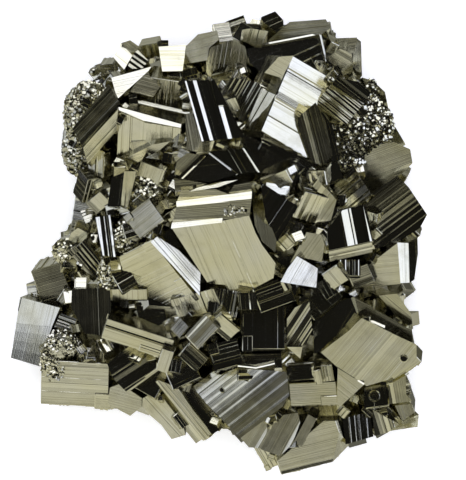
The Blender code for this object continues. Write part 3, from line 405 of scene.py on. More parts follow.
# Crystals that turn one face to the eye. A line gives that face's centre (right, down and height),
# the way it leans and by how much, the way one of its edges is seen to run, and the crystal's size
# along that edge, across it and away from the face. The last values say whether its lines run along
# that edge, 0, or across it, 1, and how its bands run.
FACE_CRYSTALS = [
    ("black_arch_step", (65.0, 91.5, 41.0), (110, 8), 2, (11.0, 6.4, 10.0), 0, "dark"),
    ("foot_khaki_face", (77.0, 111.4, 33.0), (262, 25), 14, (17.0, 11.0, 9.0), 0, "plain"),
    ("cream_foot_cleft", (76.2, 107.6, 35.0), (246, 21.5), 62, (8.0, 2.4, 6.0), 0, "plain"),
    ("cream_bar_foot", (41.3, 90.2, 41.8), (255, 27), 252, (5.6, 3.0, 7.0), 0, "plain"),
    ("low_ledge_right", (101.2, 92.2, 36.0), (262, 27), 37, (8.5, 2.2, 6.0), 0, "plain"),
    ("chip_upright", (79.6, 94.2, 42.0), (262, 27), 282, (3.6, 1.6, 5.0), 0, "lined"),
    ("tip_grey_lump", (37.4, 12.6, 26.0), (245, 28), 10, (4.4, 3.4, 4.5), 1, "combed"),
    ("tip_dark_grain", (40.8, 10.8, 23.0), (80, 12), 0, (2.5, 2.0, 5.0), 0, "calm"),
    ("rim_ball_crystal", (23.5, 18.0, 23.0), (200, 30), 45, (2.6, 2.6, 4.0), 0, "calm"),
    ("white_grain_top", (39.3, 20.5, 33.0), (70, 27), 60, (3.0, 2.6, 4.0), 1, "lined"),
    ("dark_ledges", (45.0, 20.3, 34.0), (75, 10), 15, (9.0, 4.5, 8.0), 1, "calm"),
    ("top_white_cube", (55.8, 7.9, 27.0), (75, 27), 8, (4.0, 4.8, 6.0), 0, "calm"),
    ("top_side_grain", (60.5, 8.0, 30.0), (150, 30), 60, (4.5, 3.0, 6.0), 0, "calm"),
    ("top_dark_grain", (59.5, 6.2, 25.0), (40, 12), 20, (4.5, 4.0, 6.0), 0, "calm"),
    ("top_white_grain", (64.2, 6.0, 27.0), (85, 27), 350, (3.0, 2.4, 5.0), 1, "lined"),
    ("dark_shoulder", (67.5, 21.0, 44.0), (150, 12), 65, (6.0, 4.5, 8.0), 1, "combed"),
    ("black_wedge", (70.3, 41.5, 42.0), (240, 8), 330, (14.0, 9.0, 12.0), 0, "plain"),
    ("olive_patch", (37.5, 36.5, 38.0), (240, 26), 10, (9.0, 3.5, 6.0), 1, "calm"),
    ("grey_blue_chip", (40.0, 39.3, 39.0), (35, 28), 30, (6.0, 3.4, 6.0), 0, "calm"),
    ("dark_chip", (45.0, 37.3, 41.0), (100, 10), 5, (3.8, 2.4, 6.0), 1, "calm"),
    ("khaki_chip", (45.2, 39.0, 41.5), (255, 30), 10, (3.6, 2.4, 5.0), 0, "lined"),
    ("white_chip", (29.5, 40.8, 35.0), (85, 27), 60, (2.4, 2.2, 4.0), 0, "lined"),
    ("long_white_chip", (32.5, 41.2, 36.0), (12, 31), 20, (4.0, 2.2, 5.0), 1, "lined"),
    ("khaki_facet", (24.6, 50.7, 35.0), (240, 30), 40, (4.6, 3.8, 6.0), 1, "calm"),
    ("smooth_left_rim", (20.5, 51.3, 27.0), (188, 22.8), 262, (11.0, 4.0, 9.0), 1, "lined"),
    ("grey_cube", (36.2, 54.6, 48.0), (201, 25.2), 38, (7.6, 6.6, 9.0), 0, "calm"),
    ("lower_ledge", (32.3, 73.6, 40.0), (265, 30), 0, (9.0, 2.6, 6.0), 1, "calm"),
    ("black_notch", (31.3, 69.8, 42.0), (120, 10), 300, (5.5, 4.5, 7.0), 1, "calm"),
    ("pale_left_cube", (19.8, 59.6, 33.0), (250, 30), 340, (3.8, 3.4, 5.0), 0, "calm"),
    ("khaki_left_lump", (16.0, 62.5, 30.0), (225, 28), 20, (5.0, 3.8, 7.0), 1, "lined"),
    ("white_left_grain", (15.2, 66.0, 28.0), (30, 30), 80, (3.0, 2.6, 5.0), 0, "calm"),
    ("diagonal_plate", (22.3, 65.2, 37.0), (222, 22), 310, (9.5, 5.0, 7.0), 0, "combed"),
    ("white_left_square", (20.3, 70.6, 38.0), (98, 27), 0, (2.7, 2.5, 4.0), 0, "plain"),
    ("left_dark_cube", (12.9, 71.2, 30.0), (235, 19.5), 290, (9.5, 7.5, 10.0), 1, "calm"),
    ("pale_left_strip", (8.0, 73.2, 24.0), (200, 32), 280, (4.5, 2.4, 6.0), 1, "lined"),
    ("small_striped_grain", (16.5, 80.7, 33.0), (150, 20), 340, (4.6, 3.6, 6.0), 0, "combed"),
    ("low_left_block", (18.7, 96.0, 31.0), (262, 28), 357, (16.8, 11.0, 14.0), 0, "fine"),
    ("cream_bar", (34.5, 84.7, 41.6), (255, 30), 342, (17.5, 5.0, 8.0), 0, "slotted"),
    ("cream_bar_end", (41.2, 90.0, 39.6), (250, 30), 70, (5.0, 2.4, 5.0), 1, "combed"),
    ("low_left_grain", (26.8, 100.9, 25.0), (230, 30), 0, (4.0, 2.8, 6.0), 0, "calm"),
    ("striped_chip", (26.4, 86.3, 39.0), (85, 25), 300, (3.6, 3.0, 5.0), 0, "zebra"),
    ("white_chip_low", (22.9, 88.8, 36.0), (30, 30), 0, (2.0, 1.8, 4.0), 0, "calm"),
    ("white_chip_left", (20.5, 87.2, 36.0), (70, 27), 30, (2.0, 1.8, 4.0), 1, "lined"),
    ("dark_hollow_face", (38.0, 79.0, 38.5), (120, 8), 10, (7.0, 8.0, 8.0), 0, "calm"),
    ("cream_fold", (49.2, 76.0, 41.6), (255, 28), 15, (11.0, 5.5, 8.0), 1, "lined"),
    ("grey_small_cube", (45.0, 81.8, 44.5), (194, 23.2), 315, (3.4, 3.6, 6.0), 1, "lined"),
    ("grey_green_cube", (50.4, 82.8, 45.0), (198, 23.6), 47, (7.2, 4.8, 8.0), 0, "lined"),
    ("cream_cube", (56.2, 81.7, 44.5), (270, 30), 320, (6.2, 4.4, 7.0), 0, "lined"),
    ("striped_dark_cube", (48.5, 89.2, 42.0), (222, 17), 318, (5.8, 4.6, 8.0), 0, "zebra"),
    ("black_low_cube", (56.5, 88.5, 43.0), (100, 8), 15, (7.2, 6.6, 9.0), 0, "calm"),
    ("zebra_chip", (62.0, 75.3, 45.0), (60, 14), 275, (4.2, 4.6, 6.0), 0, "zebra"),
    ("black_arch", (66.0, 81.6, 43.0), (95, 7), 0, (10.5, 11.0, 12.0), 1, "plain"),
    ("cream_foot_wedge", (67.2, 114.0, 25.0), (235, 30), 300, (6.5, 4.5, 9.0), 0, "calm"),
    ("khaki_low_cube", (78.3, 98.4, 37.0), (265, 25), 3, (11.6, 5.6, 9.0), 0, "plain"),
    ("olive_recess", (75.3, 92.7, 38.0), (110, 9), 5, (6.5, 4.5, 8.0), 0, "lined"),
    ("upright_chips", (80.8, 93.4, 40.0), (258, 25), 280, (4.0, 5.0, 7.0), 0, "combed"),
    ("right_ledge", (99.2, 92.8, 30.0), (280, 40), 36, (7.6, 2.4, 5.0), 1, "calm"),
    ("olive_grain", (73.0, 57.0, 47.0), (120, 15), 60, (4.2, 3.6, 6.0), 1, "calm"),
    ("olive_grain_low", (71.3, 60.5, 48.0), (230, 28), 40, (3.6, 3.2, 6.0), 1, "lined"),
    ("olive_grain_chip", (74.5, 59.0, 48.5), (85, 27), 20, (2.6, 2.2, 5.0), 0, "calm"),
    ("khaki_mid_cube", (83.8, 69.3, 46.0), (250, 28), 310, (4.6, 4.4, 7.0), 0, "calm"),
    ("black_mid_side", (81.8, 72.0, 43.0), (150, 12), 300, (4.8, 3.4, 7.0), 0, "calm"),
    ("black_mid_top", (87.3, 66.9, 44.5), (80, 8), 0, (5.5, 4.0, 7.0), 1, "combed"),
    ("olive_mid_chip", (90.2, 69.0, 42.0), (265, 22), 20, (5.2, 4.8, 7.0), 0, "calm"),
    ("khaki_triangle", (69.0, 45.4, 47.0), (250, 30), 22, (7.0, 3.6, 6.0), 0, "calm"),
    ("white_triangle", (69.4, 47.3, 46.5), (20, 30), 350, (6.0, 2.4, 5.0), 0, "calm"),
    ("white_splinter", (72.5, 42.8, 47.0), (10, 30), 30, (3.2, 1.8, 5.0), 0, "calm"),
    ("navy_face", (88.2, 107.2, 27.0), (120, 12), 285, (6.5, 4.5, 7.0), 1, "calm"),
    ("grey_low_strip", (91.7, 105.8, 26.0), (250, 25), 287, (6.2, 2.8, 6.0), 0, "calm"),
    ("black_low_wedge", (94.4, 105.7, 24.0), (100, 9), 300, (5.4, 3.2, 7.0), 1, "lined"),
    ("grey_low_block", (96.8, 104.0, 27.0), (230, 22), 315, (5.6, 4.0, 6.0), 0, "lined"),
    ("grey_corner_block", (100.0, 102.5, 25.0), (265, 25), 15, (6.6, 4.0, 8.0), 1, "lined"),
    ("pale_corner_grain", (103.0, 104.8, 21.0), (20, 30), 30, (3.8, 2.8, 6.0), 1, "lined"),
    ("ring_recess", (94.0, 99.2, 31.0), (90, 6), 10, (6.0, 5.0, 8.0), 1, "calm"),
    ("deep_black_block", (59.5, 38.5, 42.0), (100, 8), 330, (12.0, 11.0, 9.0), 0, "calm"),
    ("deep_right_cube", (80.5, 42.8, 42.0), (60, 6), 20, (9.0, 7.0, 8.0), 1, "plain"),
    ("deep_right_block", (87.0, 48.5, 40.5), (160, 26), 40, (9.5, 8.0, 9.0), 0, "lined"),
    ("deep_left_cube", (37.0, 45.3, 41.0), (240, 28), 70, (8.0, 6.5, 8.0), 0, "calm"),
    ("deep_left_block", (30.0, 50.0, 37.0), (190, 30), 15, (8.0, 7.5, 8.0), 0, "lined"),
    ("deep_mid_cube", (56.0, 75.5, 42.5), (100, 8), 350, (7.5, 6.5, 8.0), 1, "combed"),
    ("deep_mid_block", (68.5, 73.5, 43.0), (120, 10), 20, (9.0, 6.5, 8.0), 0, "calm"),
    ("deep_low_cube", (80.0, 74.5, 42.0), (150, 10), 40, (9.0, 6.5, 8.0), 1, "plain"),
    ("deep_foot_cube", (45.5, 92.8, 38.0), (150, 14), 25, (7.5, 6.5, 8.0), 0, "dark"),
    ("deep_foot_block", (37.5, 95.0, 35.0), (120, 10), 60, (7.0, 6.5, 8.0), 1, "plain"),
    ("deep_corner_cube", (86.5, 90.0, 37.0), (235, 25), 25, (10.0, 8.0, 9.0), 0, "calm"),
    ("deep_corner_block", (82.5, 104.0, 29.0), (90, 12), 10, (9.0, 6.5, 8.0), 1, "lined"),
    ("deep_top_cube", (41.5, 23.5, 35.0), (250, 24), 352, (9.0, 7.0, 8.0), 1, "combed"),
    ("deep_top_block", (75.0, 22.0, 40.0), (140, 12), 30, (12.0, 10.0, 9.0), 0, "calm"),
    ("deep_edge_cube", (96.0, 87.0, 33.0), (300, 25), 60, (9.0, 9.0, 9.0), 0, "calm"),
    ("left_shelf_cube", (17.5, 88.5, 31.0), (240, 24), 20, (7.0, 6.0, 8.0), 1, "lined"),
    ("rim_wedge_left", (18.5, 31.0, 25.0), (170, 26), 262, (9.0, 4.5, 8.0), 0, "calm"),
]

# Mounds that fine grains cover. A line gives a mound's middle (right, down and height) and its
# half widths along, across and upwards.
GRAIN_MOUNDS = [
    ("right_mound", (90.6, 31.6, 37.5), (7.6, 7.0, 7.0)),
    ("right_lower_mound", (87.6, 37.5, 36.0), (4.6, 6.0, 6.0)),
    ("right_rim_mound", (92.8, 24.5, 34.0), (1.7, 4.6, 4.0)),
    ("left_mound", (19.4, 28.5, 29.0), (3.4, 6.6, 5.0)),
    ("left_lower_mound", (20.0, 37.5, 23.0), (4.5, 6.0, 6.0)),
    ("left_upper_mound", (22.4, 23.4, 30.0), (3.6, 3.2, 4.0)),
    ("cream_mound", (15.6, 86.0, 32.0), (4.2, 3.6, 4.0)),
    ("left_cream_mound", (16.3, 62.8, 32.0), (3.0, 3.0, 3.6)),
    ("cream_lower_mound", (12.8, 91.0, 29.5), (2.6, 4.4, 4.0)),
    ("strip_mound", (27.5, 69.0, 36.0), (3.0, 6.0, 4.5)),
    ("middle_mound", (31.8, 59.5, 40.0), (3.4, 4.6, 5.0)),
    ("middle_upper_mound", (36.0, 47.5, 38.0), (5.0, 4.0, 4.0)),
    ("right_edge_mound", (100.5, 88.5, 28.0), (2.6, 3.4, 3.4)),
]

# Faces where a crystal is cut off: the point on the grid that the cut runs through, the way the cut
# face looks, and how far it looks up, in degrees.
CUTS = {
    "great_block": [(47.75, 63.9, 215, 12), (63.0, 72.2, 299, 0)],
    "foot_khaki_face": [(84.5, 109.7, 338, 20), (73.7, 111.5, 143, 30), (82.0, 105.2, 90, 10)],
    "right_low_block": [(92.2, 95.2, 285, 25)],
    "low_left_block": [(11.6, 92.2, 150, 35)],
    "grey_cube": [(33.3, 52.0, 135, 35)],
    "stepped_block": [(30.5, 67.0, 205, 20)],
}

# Crystals that show one face with an outline of its own, where others grew into them or a corner
# broke away. A line gives the height of the face's middle, the way it leans and by how much, the way
# its lines run, the crystal's depth, the habit, and the outline (right and down) in millimetres.
# Lines with the same name are strips of one face that bends, so their growth lines match.
SHARDS = [
    ("great_face", 47.2, (263, 31), 294, 12.0, "fine", [
        (43.0, 56.9), (52.1, 70.9), (56.3, 71.1), (58.3, 74.8), (68.3, 69.4), (68.8, 65.8), (65.4, 61.2),
        (63.8, 58.2), (62.2, 54.0), (55.4, 55.3)]),
    ("great_lip", 52.8, (98, 27), 6, 16.0, "plain", [
        (43.1, 55.8), (42.9, 57.1), (55.5, 55.6), (55.6, 54.6)]),
    ("great_shelf", 52.9, (262, 21.8), 4, 16.0, "plain", [
        (44.3, 51.6), (43.1, 56.1), (55.5, 54.8), (62.3, 54.2), (62.8, 49.8)]),
    ("great_band", 53.7, (98, 27), 6, 16.0, "plain", [
        (44.2, 50.5), (44.3, 51.8), (62.8, 49.9), (62.9, 48.0)]),
    ("great_ledge", 52.9, (262, 24), 4, 16.0, "calm", [
        (45.4, 47.6), (44.3, 50.6), (58.0, 48.9), (54.0, 47.4)]),
    ("great_streak", 53.2, (98, 27), 10, 16.0, "plain", [
        (47.4, 48.0), (54.6, 46.9), (59.4, 45.1), (54.0, 45.8), (49.2, 47.2)]),
    ("great_corner", 52.8, (275, 19), 8, 16.0, "calm", [
        (56.8, 48.9), (62.9, 48.1), (62.4, 45.6), (58.6, 46.4)]),
    ("great_side", 50.0, (66, 40), 280, 16.0, "calm", [
        (62.7, 46.8), (63.7, 56.4), (65.6, 60.4), (68.7, 62.9), (69.0, 60.0), (67.2, 55.4), (66.0, 50.0),
        (65.0, 45.4)]),
    ("peak_face", 53.4, (70, 8), 8, 16.0, "plain", [
        (52.5, 38.5), (46.1, 44.9), (52.6, 45.6), (59.2, 43.6)]),
    ("peak_line", 53.6, (28, 29), 323, 16.0, "plain", [
        (52.4, 38.3), (52.3, 38.6), (59.1, 43.8), (59.4, 43.6)]),
    ("peak_left_line", 53.5, (98, 27), 225, 16.0, "plain", [
        (51.1, 39.2), (45.5, 44.7), (45.8, 44.8), (51.4, 39.3)]),
    ("peak_left_strip", 53.3, (200, 9), 225, 16.0, "plain", [
        (50.4, 38.8), (44.6, 44.4), (45.5, 44.8), (51.2, 39.0)]),
    ("peak_right", 52.7, (60, 9), 300, 16.0, "plain", [
        (52.6, 38.0), (59.4, 43.4), (64.4, 43.2), (60.6, 37.4)]),
    ("peak_right_line", 52.9, (20, 29), 303, 16.0, "plain", [
        (60.6, 37.2), (64.4, 43.2), (64.8, 43.1), (61.0, 37.3)]),
    ("peak_grey", 51.6, (250, 21), 45, 16.0, "calm", [
        (44.4, 40.2), (43.7, 43.6), (46.0, 44.0), (50.6, 38.9), (47.0, 38.4)]),
    ("peak_foot", 52.2, (270, 19), 5, 16.0, "lined", [
        (43.6, 44.6), (44.0, 49.0), (48.8, 47.6), (51.6, 45.9)]),
    ("great_square", 50.6, (60, 8), 56, 16.0, "plain", [
        (65.1, 45.6), (66.4, 54.6), (69.2, 60.2), (74.3, 51.6)]),
    ("right_plate_face", 39.0, (240, 23.5), 20, 20.0, "plain", [
        (85.6, 44.6), (85.4, 51.8), (88.6, 50.0), (93.4, 48.4), (97.0, 45.6), (100.6, 43.2), (103.0, 40.8),
        (102.4, 37.4), (98.4, 35.6), (92.6, 36.6), (89.0, 39.8)]),
    ("roof_slab", 36.0, (206, 23), 6, 20.0, "plain", [
        (66.0, 11.0), (76.4, 8.7), (80.3, 8.6), (82.6, 7.0), (81.4, 4.9), (72.4, 5.5)]),
    ("roof_lip", 36.6, (98, 27), 10, 14.0, "plain", [(65.8, 11.0), (65.9, 11.3), (79.9, 8.6), (79.8, 8.3)]),
    ("roof_face", 36.6, (80, 10), 25, 14.0, "roof_streaks", [
        (61.8, 12.2), (62.4, 15.6), (65.4, 18.4), (68.2, 15.6), (74.0, 14.2), (82.2, 19.2), (79.8, 8.9)]),
    ("roof_edge", 37.2, (15, 30), 283, 14.0, "plain", [
        (79.9, 8.7), (82.3, 19.2), (82.6, 19.2), (80.2, 8.6)]),
    ("roof_side", 35.6, (60, 36), 282, 20.0, "calm", [
        (80.3, 8.6), (82.6, 19.0), (83.4, 18.6), (84.2, 11.6), (82.6, 7.6)]),
    ("yellow_facet", 38.4, (225, 27), 330, 14.0, "calm", [
        (82.1, 14.4), (83.7, 18.8), (88.2, 18.0), (87.9, 13.4), (85.0, 12.3)]),
    ("yellow_top", 36.4, (282, 22), 10, 20.0, "calm", [
        (84.2, 9.6), (85.0, 12.5), (88.2, 13.3), (89.2, 9.4)]),
    ("outer_face", 34.0, (250, 20.5), 275, 20.0, "plain", [
        (88.3, 12.8), (88.2, 18.4), (90.5, 18.8), (90.2, 10.4), (88.9, 9.4)]),
    ("comb_dark", 44.2, (60, 10), 322, 14.0, "zebra", [
        (84.0, 19.5), (83.0, 21.3), (90.6, 26.4), (92.6, 23.4), (89.4, 20.6)]),
    ("comb_face", 43.8, (145, 17), 321, 14.0, "comb_lines", [
        (82.9, 21.2), (78.8, 25.7), (86.4, 31.2), (90.8, 26.0)]),
    ("wing_face", 45.4, (262, 17), 285, 14.0, "calm", [
        (78.8, 25.8), (75.0, 29.0), (74.5, 31.6), (77.4, 40.0), (80.4, 41.6), (83.0, 38.8), (81.2, 30.4)]),
    ("wing_side", 42.6, (80, 10), 285, 14.0, "calm", [
        (79.0, 25.8), (81.0, 30.4), (82.8, 40.4), (84.8, 40.0), (83.0, 31.6)]),
    ("rim_slab", 33.4, (245, 20.5), 290, 20.0, "plain", [
        (90.6, 19.4), (93.0, 24.0), (95.8, 31.0), (98.6, 35.8), (101.4, 36.0), (99.0, 32.0), (97.2, 27.6),
        (96.2, 23.0), (93.2, 20.2)]),
    ("far_left_face", 30.0, (188, 31), 76, 20.0, "plain", [
        (5.0, 74.4), (3.95, 81.0), (13.0, 81.5), (14.9, 77.0)]),
    ("far_left_face", 29.1, (188, 27), 76, 20.0, "plain", [
        (3.95, 81.0), (3.65, 83.0), (12.2, 83.8), (13.0, 81.5)]),
    ("far_left_face", 28.7, (188, 25.2), 76, 20.0, "plain", [
        (3.65, 83.0), (3.3, 85.2), (11.5, 86.2), (12.2, 83.8)]),
    ("far_left_face", 28.3, (188, 23.6), 76, 20.0, "plain", [
        (3.3, 85.2), (3.0, 87.3), (10.7, 88.8), (11.5, 86.2)]),
    ("far_left_face", 27.9, (188, 22), 76, 20.0, "plain", [
        (3.0, 87.3), (2.6, 89.5), (9.8, 91.6), (10.7, 88.8)]),
    ("silver_face_whole", 40.0, (188, 23.6), 38, 14.0, "silver_face", [
        (48.4, 96.6), (53.6, 92.7), (55.2, 93.8), (57.0, 92.8), (59.2, 92.0), (71.6, 92.9), (72.2, 98.6),
        (70.6, 101.4), (60.1, 109.4), (51.8, 101.0)]),
    ("foot_striped", 36.4, (110, 10), 33, 14.0, "foot_stripes", [
        (26.9, 91.0), (28.2, 94.4), (31.5, 97.8), (39.6, 92.0), (37.4, 88.6), (32.8, 86.2)]),
    ("foot_striped_edge", 36.6, (262, 27), 33, 14.0, "plain", [
        (31.4, 97.6), (31.8, 98.2), (39.8, 92.4), (39.5, 91.8)]),
    ("blade_dark", 33.6, (60, 9), 309, 14.0, "calm", [
        (44.6, 97.0), (48.4, 97.0), (56.2, 106.6), (53.0, 108.6)]),
    ("black_right", 41.8, (150, 12), 60, 14.0, "plain", [
        (88.4, 74.3), (80.0, 76.5), (78.2, 82.0), (78.6, 88.2), (80.4, 87.8), (85.6, 83.0), (89.5, 79.2)]),
    ("right_band", 44.0, (250, 18.5), 334, 24.0, "calm", [
        (88.6, 74.2), (89.7, 78.8), (103.0, 85.6), (102.6, 82.4), (94.0, 77.4)]),
    ("right_band_edge", 43.8, (98, 27), 332, 14.0, "plain", [
        (89.6, 78.6), (89.7, 79.0), (96.0, 81.9), (96.1, 81.4)]),
    ("right_low_face", 43.4, (262, 26), 50, 14.0, "fine", [
        (80.2, 88.0), (84.2, 91.6), (91.6, 96.4), (97.0, 94.8), (104.0, 89.8), (103.9, 86.1), (99.8, 84.2),
        (90.3, 79.5), (87.2, 82.6)]),
    ("khaki_right_plate", 42.5, (245, 25.5), 320, 22.0, "plain", [
        (94.7, 73.9), (99.2, 79.2), (103.2, 82.2), (102.6, 78.4), (99.2, 73.4)]),
    ("right_slab_low", 34.6, (240, 23), 280, 20.0, "plain", [
        (97.2, 96.2), (97.4, 101.0), (103.0, 100.2), (101.5, 98.6), (101.4, 93.9)]),
    ("turned_face", 38.6, (262, 26), 322, 14.0, "plain", [
        (84.4, 92.0), (84.3, 100.6), (84.9, 101.7), (90.9, 96.1)]),
    ("turned_line", 39.2, (98, 27), 328, 14.0, "plain", [
        (84.5, 91.8), (84.6, 92.2), (90.8, 96.1), (91.0, 95.8)]),
    ("pillar_side", 45.6, (215, 21), 280, 14.0, "calm", [
        (46.4, 28.6), (46.8, 37.6), (49.6, 38.0), (50.6, 35.4), (48.0, 28.4)]),
    ("edge_white", 39.6, (6, 31), 272, 20.0, "calm", [
        (99.2, 60.7), (99.9, 70.7), (102.3, 70.6), (102.0, 60.8)]),
    ("edge_face", 41.6, (230, 28), 5, 14.0, "calm", [
        (91.8, 66.6), (87.7, 72.0), (100.0, 70.9), (99.2, 60.8)]),
    ("edge_black", 36.6, (60, 14), 272, 20.0, "calm", [
        (102.0, 60.7), (102.4, 70.6), (103.5, 69.9), (104.4, 63.4), (104.3, 59.3)]),
    ("mid_grey_face", 47.0, (232, 24), 55, 14.0, "calm", [
        (76.6, 58.1), (70.4, 69.6), (74.4, 64.0), (80.4, 65.4), (81.0, 61.0), (80.2, 58.7)]),
    ("blue_face", 47.8, (10, 29.4), 240, 14.0, "fine", [
        (71.9, 67.1), (70.1, 70.4), (78.9, 71.8), (79.3, 67.1), (74.2, 64.1)]),
    ("left_banded", 45.0, (7, 8), 277, 14.0, "left_banded", [
        (24.0, 54.4), (25.8, 63.8), (29.2, 64.2), (27.8, 53.8)]),
    ("left_gloss", 37.0, (250, 18.5), 226, 14.0, "lined", [
        (18.2, 32.0), (20.6, 36.6), (30.0, 25.8), (27.2, 21.2)]),
    ("left_cream", 37.6, (282, 31), 227, 14.0, "lined", [
        (20.8, 36.8), (21.9, 40.8), (29.0, 32.6), (29.6, 27.0)]),
    ("post_cream", 43.0, (262, 29), 266, 14.0, "lined", [
        (31.2, 42.9), (30.3, 51.2), (32.0, 51.5), (34.2, 42.9)]),
    ("post_dark", 42.0, (180, 10), 262, 14.0, "plain", [
        (28.0, 44.4), (27.0, 51.6), (30.1, 51.6), (31.0, 43.2)]),
    ("bright_left_face", 47.2, (186, 29), 60, 14.0, "lined", [
        (65.4, 22.4), (61.6, 31.2), (65.4, 32.6), (69.2, 24.0)]),
    ("cream_shoulder_face", 48.2, (240, 29), 330, 14.0, "plain", [
        (69.6, 14.5), (66.2, 18.3), (70.4, 19.6), (73.2, 14.2)]),
    ("shaded_comb_face", 45.4, (245, 15), 60, 14.0, "shaded_lines", [
        (54.4, 25.0), (57.4, 28.2), (61.0, 30.4), (65.6, 22.2), (64.4, 20.8), (58.0, 19.5)]),
    ("right_cell_line", 40.8, (98, 27), 320, 14.0, "plain", [
        (84.5, 80.4), (84.3, 80.9), (88.9, 79.6), (88.8, 79.2)]),
    ("pillar_face", 48.2, (16, 7), 286, 16.0, "pillar_face", [
        (46.3, 20.5), (50.5, 35.4), (61.0, 34.4), (53.5, 20.1)]),
    ("pillar_step", 49.2, (16, 8), 286, 14.0, "plain", [
        (52.9, 20.2), (54.4, 26.4), (56.8, 26.4), (53.5, 20.0)]),
    ("pillar_foot", 46.6, (268, 27), 4, 14.0, "calm", [
        (50.5, 35.5), (48.9, 38.9), (52.6, 38.4), (53.6, 35.3)]),
    ("banded_front", 48.6, (11, 8), 281, 14.0, "banded_face", [
        (85.4, 52.7), (81.7, 57.4), (82.1, 62.5), (92.8, 60.2), (90.5, 51.3)]),
    ("banded_foot", 47.0, (268, 23), 12, 14.0, "lined", [
        (82.1, 62.6), (82.4, 65.3), (92.9, 63.0), (92.8, 60.3)]),
    ("stepped_bright", 46.8, (14, 31), 311, 12.0, "bright_side", [
        (37.8, 60.5), (43.5, 66.6), (49.9, 73.8), (50.1, 68.2), (45.0, 62.8), (39.4, 59.2)]),
    ("upper_wedge", 42.8, (98, 27), 345, 12.0, "plain", [
        (29.4, 27.4), (36.0, 30.2), (45.2, 32.0), (45.3, 31.2), (29.8, 26.9)]),
    ("tip_white", 31.0, (98, 27), 322, 18.0, "plain", [
        (28.3, 14.2), (31.0, 17.3), (33.0, 13.8), (30.2, 10.8)]),
    ("tip_dark", 30.6, (245, 22.5), 322, 16.0, "plain", [
        (30.3, 10.7), (33.1, 13.6), (34.8, 11.6), (32.5, 10.0)]),
    ("tip_stripes", 31.6, (110, 14), 325, 18.0, "tip_stripes", [
        (31.8, 17.2), (35.6, 17.0), (37.0, 15.2), (34.4, 12.5), (33.1, 13.8)]),
    ("wedge_white_upper", 36.0, (98, 27), 12, 18.0, "calm", [
        (27.9, 19.5), (29.0, 23.4), (29.6, 24.5), (37.0, 17.8), (37.8, 16.7)]),
    ("olive_triangle", 36.4, (245, 21.5), 345, 18.0, "plain", [
        (37.0, 17.9), (32.0, 22.7), (38.2, 24.2), (40.0, 21.7), (37.9, 20.0)]),
    ("foot_green_face", 34.6, (222, 23.5), 60, 20.0, "plain", [
        (60.0, 109.3), (62.2, 111.8), (65.2, 112.0), (66.8, 107.5), (66.4, 104.9)]),
    ("foot_olive_face", 34.3, (252, 21), 62, 20.0, "lined", [
        (66.4, 105.2), (65.2, 112.3), (70.0, 114.0), (73.0, 111.0), (75.0, 105.6), (74.4, 103.2),
        (69.0, 104.0)]),
    ("square_white", 33.0, (98, 27), 0, 18.0, "plain", [
        (39.7, 11.7), (40.6, 17.8), (45.6, 17.7), (46.5, 11.2)]),
    ("top_olive_face", 36.4, (285, 19.5), 80, 18.0, "calm", [
        (51.6, 15.8), (51.7, 19.5), (57.4, 18.1), (57.6, 10.2), (52.5, 12.0)]),
    ("top_olive_side", 36.2, (290, 22), 80, 18.0, "lined", [
        (57.4, 18.1), (62.0, 15.4), (61.2, 11.6), (57.9, 10.0)]),
    ("top_grey_face", 34.6, (208, 25), 14, 20.0, "plain", [
        (45.8, 16.0), (51.7, 15.0), (52.2, 12.0), (54.8, 9.8), (54.2, 7.7), (49.5, 8.6), (46.5, 11.5)]),
    ("top_black", 32.0, (80, 11), 25, 20.0, "plain", [
        (65.4, 4.2), (65.8, 5.4), (69.5, 8.2), (71.0, 7.9), (70.8, 5.0), (68.8, 2.8)]),
    ("blade_khaki", 35.4, (245, 26), 309, 16.0, "lined", [
        (39.0, 95.4), (50.8, 110.2), (52.9, 108.3), (48.2, 102.5), (44.5, 97.0), (39.6, 95.0)]),
    ("wide_wedge", 32.0, (262, 26), 345, 16.0, "plain", [
        (27.5, 97.0), (27.0, 101.0), (32.5, 104.0), (35.3, 101.7), (35.4, 99.6), (30.0, 96.0)]),
    ("ragged_face", 31.0, (246, 29), 312, 16.0, "calm", [
        (35.7, 99.6), (35.6, 101.3), (37.5, 103.8), (40.4, 106.3), (42.9, 109.8), (46.3, 108.8),
        (45.8, 106.7), (44.0, 103.8), (41.6, 100.7), (39.5, 97.8)]),
    ("right_dark_face", 42.0, (215, 7), 37, 22.0, "olive_stripes", [
        (90.9, 50.0), (92.7, 62.5), (99.2, 60.6), (104.8, 57.0), (106.6, 53.7), (102.0, 46.8),
        (99.2, 44.0)]),
    ("grey_upper_face", 46.6, (240, 23.5), 55, 14.0, "lined", [
        (76.6, 48.6), (75.0, 51.8), (78.4, 55.5), (82.6, 55.1), (84.0, 50.0), (79.4, 45.0)]),
    ("leaf_face", 39.8, (245, 27), 20, 14.0, "calm", [
        (32.0, 39.3), (38.2, 36.2), (42.5, 35.4), (40.0, 37.5), (34.5, 40.5)]),
    ("top_cream_face", 38.6, (262, 28), 75, 18.0, "lined", [
        (60.6, 7.5), (62.9, 7.2), (67.0, 7.9), (65.4, 11.4), (60.8, 10.3)]),
    ("post_face", 43.6, (240, 17), 57, 14.0, "post_streaks", [
        (71.6, 86.2), (71.8, 79.6), (73.8, 76.8), (77.2, 75.2), (78.0, 82.4), (76.4, 86.2)]),
    ("post_cream_wedge", 43.8, (262, 29), 350, 14.0, "plain", [(71.8, 86.7), (75.5, 86.7), (75.0, 89.5)]),
    ("arch_line", 44.2, (98, 27), 358, 14.0, "plain", [
        (59.5, 91.3), (64.0, 91.8), (68.6, 90.7), (68.6, 90.9), (64.0, 92.0), (59.5, 91.5)]),
    ("pale_cube_face", 35.5, (262, 31), 340, 20.0, "calm", [
        (17.8, 58.3), (17.0, 60.4), (20.8, 61.7), (22.0, 58.3), (19.5, 57.0)]),
    ("ring_face", 34.0, (90, 6), 280, 16.0, "plain", [
